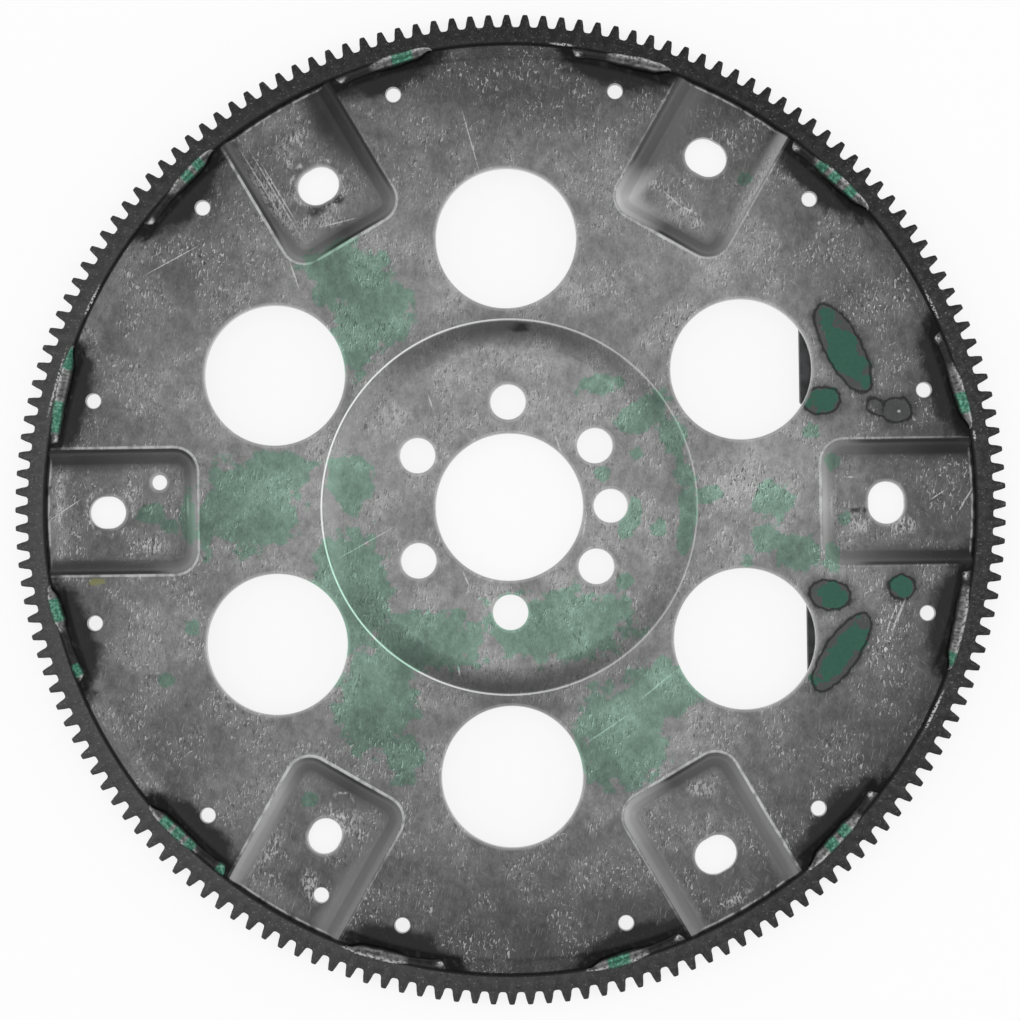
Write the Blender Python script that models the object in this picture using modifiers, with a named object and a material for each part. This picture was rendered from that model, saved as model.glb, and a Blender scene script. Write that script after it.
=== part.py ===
"""Flexplate: the pressed steel drive plate of an automatic gearbox, with its starter ring gear.

The axis is Z and the gear's rear face lies on Z = 0. The engine side looks up. +X runs along the
converter pad that stands between the two balance weights.
"""
import math

import bmesh
import bpy
from mathutils import Matrix, Vector
from mathutils.geometry import delaunay_2d_cdt

MM = 0.001

# Fits
SEAT_GAP = 0.3 * MM               # between any two pieces that touch

# Ring gear
TEETH = 168
GEAR_TIP_RADIUS = 179.4 * MM
TOOTH_DEPTH = 4.5 * MM
GEAR_RIM = 6.3 * MM               # from the root circle in to the bore
GEAR_WIDTH = 9.5 * MM
TOOTH_TIP = 1.9 * MM              # widths of one tooth, from its tip down to its foot
TOOTH_FLANK = 3.7 * MM
TOOTH_FOOT = 4.7 * MM
TOOTH_FILLET = 0.7 * MM           # height of the foot above the root circle
GEAR_TURN = math.radians(-0.39)   # where the gear was welded: its nearest tooth, from +X

# Sheet of the disc and the levels that it is pressed to, on its front face
SHEET = 2.6 * MM
WEB_HEIGHT = 13.6 * MM

# Sunk hub
HUB_RADIUS = 68.1 * MM
HUB_DEPTH = 2.6 * MM
HUB_SLOPE = math.radians(16)
HUB_BEND = 6.0 * MM

# Lip turned down into the gear
LIP_WIDTH = 6.3 * MM
LIP_SLOPE = math.radians(35)
LIP_BEND = 3.6 * MM

# Converter pads, sunk from the web and open to the rim
PAD_COUNT = 6
PAD_LENGTH = 56.1 * MM            # from the disc's edge in to the pad's inner end
PAD_WIDTH = 46.5 * MM
PAD_CORNER = 8.8 * MM
PAD_DEPTH = 6.8 * MM
PAD_SLOPE = math.radians(60)
PAD_SHOULDER = 3.6 * MM
PAD_FOOT = 1.6 * MM

# Holes for the crankshaft
PILOT_RADIUS = 26.65 * MM
CRANK_CIRCLE_RADIUS = 38.1 * MM
CRANK_HOLE_RADIUS = 6.4 * MM
CRANK_HOLE_ANGLES = (35, 90, 150, 210, 270, 325)
DOWEL_CIRCLE_RADIUS = 36.66 * MM
DOWEL_HOLE_RADIUS = 6.1 * MM

# Lightening holes and small holes near the rim
LIGHTENING_COUNT = 6
LIGHTENING_HUB_LAND = 3.75 * MM   # from the hub's outline out to the holes
LIGHTENING_RIM_LAND = 45.65 * MM  # from the holes out to the disc's edge
RIM_HOLE_INSET = 13.0 * MM        # from the disc's edge in to each small hole's centre
RIM_HOLE_RADIUS = 2.65 * MM
RIM_HOLE_COUNT = 12

# Converter bolt holes on two bolt circles. Most are slots along the circle. Two are close holes.
INNER_CONVERTER_INSET = 31.775 * MM            # from the disc's edge in to the bolt circle
OUTER_CONVERTER_INSET = 22.25 * MM
CONVERTER_SLOT = (13.0 * MM, 15.3 * MM)        # across and along the bolt circle
CONVERTER_HOLE = (13.0 * MM, 11.6 * MM)
CONVERTER_HOLES = (                            # pad angle, inset and opening
    (0, INNER_CONVERTER_INSET, CONVERTER_SLOT),
    (60, OUTER_CONVERTER_INSET, CONVERTER_SLOT),
    (120, INNER_CONVERTER_INSET, CONVERTER_SLOT),
    (180, OUTER_CONVERTER_INSET, CONVERTER_HOLE),
    (240, INNER_CONVERTER_INSET, CONVERTER_HOLE),
    (300, OUTER_CONVERTER_INSET, CONVERTER_SLOT),
)
GAUGE_HOLE_RADIUS = 2.75 * MM
GAUGE_HOLES = ((175.2, 40.6 * MM), (243.4, 12.3 * MM))       # angle, and inset from the disc's edge

# Rim welds, two between each pair of pads
RIM_WELD_START = math.radians(9.8)
RIM_WELD_SPAN = math.radians(11.7)
RIM_WELD_COUNT = 12
RIM_WELD_ON_LIP = 2.9 * MM        # how far the full bead reaches over the lip and over the gear
RIM_WELD_ON_GEAR = 2.3 * MM
RIM_WELD_CROWN = 2.4 * MM
RIM_WELD_SIZES = (0.45, 0.9, 1.0, 0.95, 0.75, 0.6, 0.6, 0.4)    # from the start to the crater

# Balance weights behind the web: a wedge with a blunt tip
WEIGHT_THICKNESS = 7.0 * MM
WEIGHT_LENGTH = 22.5 * MM         # outwards, along the pad's side
WEIGHT_HEIGHT = 37.0 * MM         # along the straight inner edge
WEIGHT_TIP = 5.0 * MM
WEIGHT_TOP = 3.0 * MM
WEIGHT_CORNER = 1.5 * MM
WEIGHT_SIDES = {"upper": 1, "lower": -1}                      # of the pad on +X
WEIGHT_INSETS = {"upper": 62.5 * MM, "lower": 61.1 * MM}      # from the disc's edge to the inner edge
WEIGHT_ASIDES = {"upper": 12.75 * MM, "lower": 10.25 * MM}    # from the pad's outline
WEIGHT_WELD_LEG = 4.0 * MM
WEIGHT_WELD_FACE = 0.62           # where the weld's face bulges to, as a share of both legs
WEIGHT_WELD_SIZES = (0.6, 1.0, 0.92, 1.0, 0.6)
WEIGHT_EDGES = ("side", "tip", "slant", "top", "inner")
WEIGHT_WELDS = (                  # edge of the weight, and the stretch of it that the weld covers
    ("slant", 0.12, 0.88),
    ("side", 0.15, 0.55),
    ("tip", 0.10, 0.90),
)

# Smoothness
TEETH_PER_FACET = 2               # the gear's bore and the disc's rim share these facets
BEND_FACET = math.radians(30)     # turn at each facet of a bend
HUB_STEPS = 48
PILOT_STEPS = 48
LIGHTENING_STEPS = 32
BOLT_HOLE_STEPS = 16
SMALL_HOLE_STEPS = 8
PAD_CORNER_STEPS = 3
WELD_CROWN_STEPS = 4
SHARP_ANGLE = math.radians(40)
MERGE = 0.001 * MM

# Sizes that follow
RIM_STEPS = TEETH // TEETH_PER_FACET
GEAR_ROOT_RADIUS = GEAR_TIP_RADIUS - TOOTH_DEPTH
GEAR_BORE_RADIUS = GEAR_ROOT_RADIUS - GEAR_RIM
DISC_RADIUS = GEAR_BORE_RADIUS - SEAT_GAP
LIP_START = DISC_RADIUS - LIP_WIDTH
PAD_INNER_RADIUS = DISC_RADIUS - PAD_LENGTH
LIGHTENING_INNER_EDGE = HUB_RADIUS + LIGHTENING_HUB_LAND
LIGHTENING_HOLE_RADIUS = (DISC_RADIUS - LIGHTENING_RIM_LAND - LIGHTENING_INNER_EDGE) / 2
LIGHTENING_CIRCLE_RADIUS = LIGHTENING_INNER_EDGE + LIGHTENING_HOLE_RADIUS
PAD_ANGLES = [math.tau * i / PAD_COUNT for i in range(PAD_COUNT)]
WEB_REAR = WEB_HEIGHT - SHEET


def clear_scene():
    for thing in list(bpy.data.objects):
        bpy.data.objects.remove(thing, do_unlink=True)


def steel(name, colour, roughness, metallic):
    material = bpy.data.materials.new(name)
    material.use_nodes = True
    shader = material.node_tree.nodes["Principled BSDF"]
    shader.inputs["Base Color"].default_value = (*colour, 1.0)
    shader.inputs["Roughness"].default_value = roughness
    shader.inputs["Metallic"].default_value = metallic
    return material


def add_piece(name, mesh, material, collection):
    piece = bpy.data.objects.new(name, mesh)
    piece.data.materials.append(material)
    collection.objects.link(piece)
    return piece


def shade(mesh):
    mesh.shade_smooth()
    mesh.set_sharp_from_angle(angle=SHARP_ANGLE)


def polar(radius, angle):
    return Vector((radius * math.cos(angle), radius * math.sin(angle)))


def bend_arc(radius, slope):
    """Run and drop along a bend that turns from flat to the slope."""
    steps = max(1, round(slope / BEND_FACET))
    angles = [slope * i / steps for i in range(steps + 1)]
    return [(radius * math.sin(a), radius * (1 - math.cos(a))) for a in angles]


def pressed_wall(depth, slope, shoulder, foot):
    """Break lines of a pressed wall, as run and drop: shoulder bend, straight slope, foot bend."""
    upper = bend_arc(shoulder, slope)
    lower = bend_arc(foot, slope)
    straight_run = (depth - upper[-1][1] - lower[-1][1]) / math.tan(slope)
    whole_run = upper[-1][0] + straight_run + lower[-1][0]
    return upper + [(whole_run - run, depth - drop) for run, drop in reversed(lower)]


def lip_wall():
    """Break lines of the lip: its bend, then a straight slope to the rim."""
    bend = bend_arc(LIP_BEND, LIP_SLOPE)
    run, drop = bend[-1]
    return bend + [(LIP_WIDTH, drop + (LIP_WIDTH - run) * math.tan(LIP_SLOPE))]


HUB_WALL = pressed_wall(HUB_DEPTH, HUB_SLOPE, HUB_BEND, HUB_BEND)
PAD_WALL = pressed_wall(PAD_DEPTH, PAD_SLOPE, PAD_SHOULDER, PAD_FOOT)
LIP_WALL = lip_wall()


def drop_at(distance, wall):
    """Drop of a wall at a distance from the line where it starts."""
    if distance <= 0:
        return 0.0
    for (run_a, drop_a), (run_b, drop_b) in zip(wall, wall[1:]):
        if distance <= run_b:
            return drop_a + (drop_b - drop_a) * (distance - run_a) / (run_b - run_a)
    return wall[-1][1]


def depth_into_pad(point, angle):
    """Distance from a point inside a pad's outline to that outline, negative outside it."""
    along = point.x * math.cos(angle) + point.y * math.sin(angle)
    aside = abs(point.y * math.cos(angle) - point.x * math.sin(angle))
    corner_a = aside - (PAD_WIDTH / 2 - PAD_CORNER)
    corner_b = PAD_INNER_RADIUS + PAD_CORNER - along
    outside = math.hypot(max(corner_a, 0), max(corner_b, 0)) + min(max(corner_a, corner_b), 0)
    return PAD_CORNER - outside


def front_height(point):
    """Height of the pressed sheet's front face over a point of the flat blank."""
    radius = point.length
    height = WEB_HEIGHT - drop_at(HUB_RADIUS - radius, HUB_WALL) - drop_at(radius - LIP_START, LIP_WALL)
    sunk = max(drop_at(depth_into_pad(point, angle), PAD_WALL) for angle in PAD_ANGLES) / PAD_DEPTH
    return height + (WEB_HEIGHT - PAD_DEPTH - height) * sunk


def ring_of_points(radius, steps, centre=Vector((0, 0))):
    return [centre + polar(radius, math.tau * i / steps) for i in range(steps)]


def slot_hole(opening, circle, angle):
    """Hole with two round ends, its long way across or along the bolt circle."""
    across, along = opening
    radius = min(across, along) / 2
    outline = []
    for i in range(BOLT_HOLE_STEPS):
        turn = math.tau * (i + 0.5) / BOLT_HOLE_STEPS
        x = radius * math.cos(turn) + math.copysign(across / 2 - radius, math.cos(turn))
        y = radius * math.sin(turn) + math.copysign(along / 2 - radius, math.sin(turn))
        outline.append(polar(circle, angle) + Matrix.Rotation(angle, 2) @ Vector((x, y)))
    return outline


def hole_outlines():
    """Every hole that is pierced in the blank, each as a ring of points."""
    yield ring_of_points(PILOT_RADIUS, PILOT_STEPS)
    for degrees in CRANK_HOLE_ANGLES:
        centre = polar(CRANK_CIRCLE_RADIUS, math.radians(degrees))
        yield ring_of_points(CRANK_HOLE_RADIUS, BOLT_HOLE_STEPS, centre)
    yield ring_of_points(DOWEL_HOLE_RADIUS, BOLT_HOLE_STEPS, polar(DOWEL_CIRCLE_RADIUS, 0))
    for i in range(LIGHTENING_COUNT):
        centre = polar(LIGHTENING_CIRCLE_RADIUS, math.tau * (i + 0.5) / LIGHTENING_COUNT)
        yield ring_of_points(LIGHTENING_HOLE_RADIUS, LIGHTENING_STEPS, centre)
    for i in range(RIM_HOLE_COUNT):
        centre = polar(DISC_RADIUS - RIM_HOLE_INSET, math.tau * (i + 0.5) / RIM_HOLE_COUNT)
        yield ring_of_points(RIM_HOLE_RADIUS, SMALL_HOLE_STEPS, centre)
    for degrees, inset, opening in CONVERTER_HOLES:
        yield slot_hole(opening, DISC_RADIUS - inset, math.radians(degrees))
    for degrees, inset in GAUGE_HOLES:
        centre = polar(DISC_RADIUS - inset, math.radians(degrees))
        yield ring_of_points(GAUGE_HOLE_RADIUS, SMALL_HOLE_STEPS, centre)


def pad_line(angle, inset):
    """One break line of a pad's wall: a rounded outline that runs out past the rim."""
    half = PAD_WIDTH / 2 - inset
    inner = PAD_INNER_RADIUS + inset
    corner = PAD_CORNER - inset
    side = [Vector((DISC_RADIUS + SHEET, half))]
    for i in range(PAD_CORNER_STEPS + 1):
        turn = math.pi / 2 * (1 + i / PAD_CORNER_STEPS)
        side.append(Vector((inner + corner, half - corner)) + polar(corner, turn))
    outline = side + [Vector((p.x, -p.y)) for p in reversed(side)]
    return [Matrix.Rotation(angle, 2) @ p for p in outline]


def lip_line(angle, radius):
    """One break line of the lip, from inside one pad to inside the next, in step with the rim's facets."""
    steps = RIM_STEPS // PAD_COUNT
    return [polar(radius, angle + math.tau / PAD_COUNT * i / steps) for i in range(1, steps)]


def flat_blank():
    """The blank's triangles, with an edge along every line at which the press will bend it."""
    points = []
    edges = []
    loops = []

    def add_line(line, closed=False):
        first = len(points)
        points.extend(line)
        count = len(line)
        if closed:
            loops.append(list(range(first, first + count)))
        else:
            edges.extend((first + i, first + i + 1) for i in range(count - 1))

    add_line(ring_of_points(DISC_RADIUS, RIM_STEPS), closed=True)
    for outline in hole_outlines():
        add_line(outline, closed=True)
    for run, _ in HUB_WALL:
        ring = ring_of_points(HUB_RADIUS - run, HUB_STEPS)
        add_line(ring + ring[:1])
    for angle in PAD_ANGLES:
        for run, _ in PAD_WALL:
            add_line(pad_line(angle, run))
        for run, _ in LIP_WALL[:-1]:
            add_line(lip_line(angle, LIP_START + run))

    corners, _, faces, _, _, sources = delaunay_2d_cdt(points, edges, loops, 0, MERGE, True)
    rim = 0
    sheet_faces = [face for face, source in zip(faces, sources) if rim in source and len(source) == 1]
    return corners, sheet_faces


def make_disc(material, collection):
    """Presses the blank to its heights and gives it the sheet's thickness behind the front face."""
    corners, faces = flat_blank()
    pressed = bmesh.new()
    verts = [pressed.verts.new((p.x, p.y, front_height(p))) for p in corners]
    for face in faces:
        pressed.faces.new([verts[i] for i in face])
    bmesh.ops.delete(pressed, geom=[v for v in pressed.verts if not v.link_faces], context="VERTS")
    mesh = bpy.data.meshes.new("flexplate_disc")
    pressed.to_mesh(mesh)
    pressed.free()
    shade(mesh)
    disc = add_piece("flexplate_disc", mesh, material, collection)
    thicken = disc.modifiers.new("sheet thickness", "SOLIDIFY")
    thicken.thickness = SHEET
    thicken.offset = -1
    thicken.use_even_offset = True
    thicken.use_quality_normals = True
    return disc


def tooth_outline():
    """Outline of one tooth, anticlockwise from the foot on one side to the foot on the other."""
    half_widths = (
        (GEAR_ROOT_RADIUS, TOOTH_FOOT / 2),
        (GEAR_ROOT_RADIUS + TOOTH_FILLET, TOOTH_FLANK / 2),
        (GEAR_TIP_RADIUS, TOOTH_TIP / 2),
    )
    lead_side = [polar(radius, GEAR_TURN - half / radius) for radius, half in half_widths]
    trail_side = [polar(radius, GEAR_TURN + half / radius) for radius, half in reversed(half_widths)]
    return lead_side + trail_side


def make_ring_gear(material, collection):
    """Lays the flat ring out facet by facet, a few teeth to each, and gives it its width."""
    gear = bmesh.new()
    pitch = math.tau / TEETH
    facet = math.tau / RIM_STEPS
    tooth = tooth_outline()
    for i in range(RIM_STEPS):
        outline = [polar(GEAR_BORE_RADIUS, facet * (i + 1)), polar(GEAR_BORE_RADIUS, facet * i)]
        for j in range(TEETH_PER_FACET):
            turn = Matrix.Rotation(pitch * (i * TEETH_PER_FACET + j), 2)
            outline.extend(turn @ p for p in tooth)
        outline.append(Matrix.Rotation(facet * (i + 1), 2) @ tooth[0])
        gear.faces.new([gear.verts.new((p.x, p.y, 0)) for p in outline])
    bmesh.ops.remove_doubles(gear, verts=gear.verts, dist=MERGE)
    ring = bmesh.ops.extrude_face_region(gear, geom=gear.faces[:], use_keep_orig=True)
    top = [item for item in ring["geom"] if isinstance(item, bmesh.types.BMVert)]
    bmesh.ops.translate(gear, verts=top, vec=(0, 0, GEAR_WIDTH))
    bmesh.ops.recalc_face_normals(gear, faces=gear.faces)
    mesh = bpy.data.meshes.new("ring_gear")
    gear.to_mesh(mesh)
    gear.free()
    shade(mesh)
    return add_piece("ring_gear", mesh, material, collection)


def loft(name, sections, material, collection):
    """Closed solid through sections that have the same number of corners, with flat ends."""
    solid = bmesh.new()
    rings = [[solid.verts.new(corner) for corner in section] for section in sections]
    for ring_a, ring_b in zip(rings, rings[1:]):
        for i in range(len(ring_a)):
            solid.faces.new((ring_a[i - 1], ring_a[i], ring_b[i], ring_b[i - 1]))
    solid.faces.new(rings[0])
    solid.faces.new(rings[-1])
    bmesh.ops.recalc_face_normals(solid, faces=solid.faces)
    mesh = bpy.data.meshes.new(name)
    solid.to_mesh(mesh)
    solid.free()
    shade(mesh)
    return add_piece(name, mesh, material, collection)


def rim_weld_section(size):
    """Bead across the seam, as radius and height: it lies on the lip, bridges to the gear, bulges up."""
    lip_edge = Vector((DISC_RADIUS, WEB_HEIGHT - LIP_WALL[-1][1]))
    up_lip = Vector((-math.cos(LIP_SLOPE), math.sin(LIP_SLOPE)))
    off_lip = Vector((math.sin(LIP_SLOPE), math.cos(LIP_SLOPE)))
    root = lip_edge + off_lip * SEAT_GAP
    lip_toe = root + up_lip * RIM_WELD_ON_LIP * size
    gear_toe = Vector((GEAR_BORE_RADIUS + RIM_WELD_ON_GEAR * size, GEAR_WIDTH + SEAT_GAP))
    across = gear_toe - lip_toe
    outward = Vector((-across.y, across.x)).normalized()
    crown = [
        lip_toe + across * math.sin(turn / 2) ** 2 + outward * RIM_WELD_CROWN * size * math.sin(turn)
        for turn in (math.pi * i / WELD_CROWN_STEPS for i in range(1, WELD_CROWN_STEPS))
    ]
    return [root, lip_toe, *crown, gear_toe]


def make_rim_welds(material, collection):
    for count in range(RIM_WELD_COUNT):
        start = RIM_WELD_START + math.tau * count / RIM_WELD_COUNT
        sections = []
        for i, size in enumerate(RIM_WELD_SIZES):
            turn = Matrix.Rotation(start + RIM_WELD_SPAN * i / (len(RIM_WELD_SIZES) - 1), 3, "Z")
            sections.append([turn @ Vector((p.x, 0, p.y)) for p in rim_weld_section(size)])
        loft(f"rim_weld_{count + 1:02d}", sections, material, collection)


def weight_outline(place):
    """Corners of a weight in plan, each the start of one of its edges in their order."""
    side = WEIGHT_SIDES[place]
    corner = Vector((DISC_RADIUS - WEIGHT_INSETS[place], side * (PAD_WIDTH / 2 + WEIGHT_ASIDES[place]), 0))
    shape = (
        (0, 0),
        (WEIGHT_LENGTH, 0),
        (WEIGHT_LENGTH, WEIGHT_TIP),
        (WEIGHT_TOP, WEIGHT_HEIGHT),
        (0, WEIGHT_HEIGHT),
    )
    return [corner + Vector((x, y * side, 0)) for x, y in shape]


def make_weight(place, material, collection):
    """Wedge cut from plate, seated under the web, with its upright edges rounded."""
    top = WEB_REAR - SEAT_GAP
    solid = bmesh.new()
    underside = Vector((0, 0, top - WEIGHT_THICKNESS))
    base = solid.faces.new([solid.verts.new(p + underside) for p in weight_outline(place)])
    raised = bmesh.ops.extrude_face_region(solid, geom=[base], use_keep_orig=True)
    verts = [item for item in raised["geom"] if isinstance(item, bmesh.types.BMVert)]
    bmesh.ops.translate(solid, verts=verts, vec=(0, 0, WEIGHT_THICKNESS))
    upright = [e for e in solid.edges if abs(e.verts[0].co.z - e.verts[1].co.z) > WEIGHT_THICKNESS / 2]
    bmesh.ops.bevel(solid, geom=upright, offset=WEIGHT_CORNER, segments=2, profile=0.5, affect="EDGES")
    bmesh.ops.recalc_face_normals(solid, faces=solid.faces)
    name = f"balance_weight_{place}"
    mesh = bpy.data.meshes.new(name)
    solid.to_mesh(mesh)
    solid.free()
    shade(mesh)
    return add_piece(name, mesh, material, collection)


def make_weight_weld(name, place, edge, from_share, to_share, material, collection):
    """Fillet in the corner between the web's rear face and one edge of a weight."""
    outline = weight_outline(place)
    centre = sum(outline, Vector()) / len(outline)
    corner = WEIGHT_EDGES.index(edge)
    a = outline[corner]
    b = outline[(corner + 1) % len(outline)]
    away = Vector((b.y - a.y, a.x - b.x, 0)).normalized()
    if away.dot(a - centre) < 0:
        away.negate()
    down = Vector((0, 0, -1))
    start = a.lerp(b, from_share)
    end = a.lerp(b, to_share)
    sections = []
    for i, size in enumerate(WEIGHT_WELD_SIZES):
        leg = WEIGHT_WELD_LEG * size
        root = start.lerp(end, i / (len(WEIGHT_WELD_SIZES) - 1)) + Vector((0, 0, WEB_REAR))
        root += (away + down) * SEAT_GAP
        face = root + (away + down) * leg * WEIGHT_WELD_FACE
        sections.append([root, root + away * leg, face, root + down * leg])
    loft(name, sections, material, collection)


def make_weights(plate_steel, weld_steel, collection):
    number = 0
    for place in WEIGHT_SIDES:
        make_weight(place, plate_steel, collection)
        for edge, from_share, to_share in WEIGHT_WELDS:
            number += 1
            name = f"weight_weld_{number}"
            make_weight_weld(name, place, edge, from_share, to_share, weld_steel, collection)


def main():
    clear_scene()
    collection = bpy.data.collections.new("flexplate")
    bpy.context.scene.collection.children.link(collection)
    sheet_steel = steel("oiled cold-rolled sheet steel", (0.19, 0.19, 0.19), 0.42, 0.85)
    gear_steel = steel("hardened gear steel", (0.045, 0.045, 0.045), 0.5, 0.8)
    weld_steel = steel("weld metal", (0.21, 0.24, 0.22), 0.4, 0.9)
    plate_steel = steel("weight plate steel", (0.035, 0.035, 0.035), 0.55, 0.7)
    make_disc(sheet_steel, collection)
    make_ring_gear(gear_steel, collection)
    make_rim_welds(weld_steel, collection)
    make_weights(plate_steel, weld_steel, collection)


main()
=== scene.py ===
"""Looks of the flexplate: pressed steel disc, ring gear, weld beads and balance weights.

Z is the axis and the engine side looks up. Sizes are in metres and angles in radians.
"""
import math

import bmesh
import bpy
import numpy as np
from mathutils import Matrix, Vector, noise
from mathutils.geometry import delaunay_2d_cdt


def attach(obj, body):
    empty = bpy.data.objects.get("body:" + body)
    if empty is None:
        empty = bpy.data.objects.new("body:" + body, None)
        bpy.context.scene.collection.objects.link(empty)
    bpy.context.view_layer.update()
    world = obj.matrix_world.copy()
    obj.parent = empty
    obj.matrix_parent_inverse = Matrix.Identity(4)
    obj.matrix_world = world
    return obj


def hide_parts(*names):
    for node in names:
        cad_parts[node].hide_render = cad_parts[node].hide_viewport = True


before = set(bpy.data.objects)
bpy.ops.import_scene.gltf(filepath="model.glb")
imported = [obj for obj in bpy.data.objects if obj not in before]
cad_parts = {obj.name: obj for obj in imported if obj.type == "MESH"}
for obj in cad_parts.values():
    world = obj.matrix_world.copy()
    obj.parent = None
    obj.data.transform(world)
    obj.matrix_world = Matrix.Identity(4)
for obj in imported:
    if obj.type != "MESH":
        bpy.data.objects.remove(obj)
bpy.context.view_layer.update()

MM = 0.001

# Ring gear
TEETH = 168
GEAR_TIP_RADIUS = 179.4 * MM
GEAR_ROOT_RADIUS = 174.9 * MM
GEAR_BORE_RADIUS = 168.6 * MM
GEAR_WIDTH = 9.5 * MM
GEAR_TURN = math.radians(-0.39)
GEAR_CHAMFER = 0.35 * MM
TOOTH_FLANK = ((0, 2.75), (0.1, 2.35), (0.45, 2.0), (1.0, 1.78), (2.4, 1.5), (3.6, 1.14))
TOOTH_CROWN = ((-0.35, 0.98), (-0.1, 0.78), (0, 0.5))   # height over the root or the tip, half width

# Disc
SHEET = 2.6 * MM
WEB_HEIGHT = 13.6 * MM
WEB_REAR = WEB_HEIGHT - SHEET
DISC_RADIUS = 168.55 * MM
HUB_RADIUS = 68.1 * MM
HUB_DEPTH = 2.6 * MM
HUB_SLOPE = math.radians(16)
HUB_BEND = 6.0 * MM
LIP_WIDTH = 6.55 * MM
LIP_SLOPE = math.radians(35)
LIP_BEND = 3.6 * MM
LIP_START = DISC_RADIUS - LIP_WIDTH
PAD_COUNT = 6
PAD_INNER_RADIUS = 112.2 * MM
PAD_WIDTH = 46.5 * MM
PAD_CORNER = 8.8 * MM
PAD_DEPTH = 6.8 * MM
PAD_SLOPE = math.radians(60)
PAD_SHOULDER = 3.6 * MM
PAD_FOOT = 1.6 * MM
SLOPE_STEP = 0.02 * MM            # reach of the slope's measure
PAD_ANGLES = [math.tau * i / PAD_COUNT for i in range(PAD_COUNT)]

# Holes
PILOT_RADIUS = 26.65 * MM
CRANK_CIRCLE_RADIUS = 38.1 * MM
CRANK_HOLE_RADIUS = 6.4 * MM
CRANK_HOLE_ANGLES = (35, 90, 150, 210, 270, 325)
DOWEL_CIRCLE_RADIUS = 36.66 * MM
DOWEL_HOLE_RADIUS = 6.1 * MM
LIGHTENING_CIRCLE_RADIUS = 97.25 * MM
LIGHTENING_HOLE_RADIUS = 25.4 * MM
RIM_HOLE_CIRCLE_RADIUS = 155.3 * MM
RIM_HOLE_RADIUS = 2.65 * MM
CONVERTER_HOLES = (                            # pad angle, distance from the axis, across and along
    (0, 136.525 * MM, 13.0 * MM, 15.3 * MM),
    (60, 146.05 * MM, 13.0 * MM, 15.3 * MM),
    (120, 136.525 * MM, 13.0 * MM, 15.3 * MM),
    (180, 146.05 * MM, 13.0 * MM, 11.6 * MM),
    (240, 136.525 * MM, 13.0 * MM, 11.6 * MM),
    (300, 146.05 * MM, 13.0 * MM, 15.3 * MM),
)
GAUGE_HOLES = ((175.2, 127.7 * MM), (243.4, 156.0 * MM))
GAUGE_HOLE_RADIUS = 2.75 * MM
ROLL_WIDTH = 0.7 * MM             # the punch drags the front face down round each hole
ROLL_DROP = 0.4 * MM
GRID = 2.6 * MM                   # spacing of the disc's mesh between its lines
ROLL_RINGS = (0.06, 0.18, 0.4, 0.7, 1.0, 1.6, 2.4)

# Welds and weights
RIM_WELD_COUNT = 12
RIM_WELD_START = math.radians(9.8)
RIM_WELD_SPAN = math.radians(11.7)
RIM_WELD_RUN_IN = math.radians(0.9)    # thin beginning of a bead, where the arc was struck
RIM_WELD_ON_LIP = 2.9 * MM
RIM_WELD_ON_GEAR = 2.3 * MM
RIM_WELD_CROWN = 2.4 * MM
RIM_WELD_WANDER = 0.35 * MM            # how far the torch strayed sideways
RIM_WELD_CRATER = 0.94                 # where along a bead it stopped
RIPPLE_SPACING = 1.3 * MM
RIPPLE_HEIGHT = 0.10 * MM
RIPPLE_LAG = 0.8 * MM                  # how far a ripple trails at its toes
WEIGHT_THICKNESS = 7.0 * MM
WEIGHT_LENGTH = 22.5 * MM
WEIGHT_HEIGHT = 37.0 * MM
WEIGHT_TIP = 5.0 * MM
WEIGHT_TOP = 3.0 * MM
WEIGHT_CORNER = 1.2 * MM
WEIGHT_EDGE = 0.3 * MM
WEIGHT_PLACES = {"upper": (105.8 * MM, 36.0 * MM, 1), "lower": (107.2 * MM, -33.5 * MM, -1)}
WEIGHT_WELD_LEG = 4.0 * MM
WEIGHT_WELD_SIZES = (0.6, 1.0, 0.92, 1.0, 0.6)
WEIGHT_WELDS = ((2, 0.12, 0.88), (0, 0.15, 0.55), (1, 0.10, 0.90))   # edge, and the stretch of it

# Each rim bead: how much of its length the crown takes, and the stretches of it under green slag, in
# degrees from the first bead's start
RIM_BEADS = (
    (0.62, ((10.9, 13.5),)), (0.69, ((11.3, 12.7), (14.0, 15.3), (16.0, 17.4))), (0.60, ()),
    (0.59, ((11.4, 14.0),)), (0.57, ((10.8, 12.2), (12.8, 14.2))), (0.88, ((9.2, 12.0), (16.1, 20.0))),
    (0.42, ((10.7, 13.6), (19.2, 20.8))), (0.61, ((11.2, 12.7), (13.2, 14.6), (15.2, 16.6), (20.2, 21.5))),
    (0.57, ()), (0.57, ((11.5, 14.3),)), (0.68, ((12.2, 13.8), (14.5, 16.0))), (0.80, ((9.5, 11.1),)),
)
BEAD_LEAN = [lean * MM for lean in (-0.8, 1.1, 1.8, 2.2, 2.8, 4.0)]   # towards the lip, along a bead
# Marks on each bead's points: painted shade at its toes, its slag, painted highlights on its crest and
# crater, and its dark tail
BEAD_MARKS = ("toe_shade", "slag", "glint", "tail")

SHARP_ANGLE = math.radians(35)
CEILING = 0.35                    # brightness of the world above the pale walls
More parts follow.
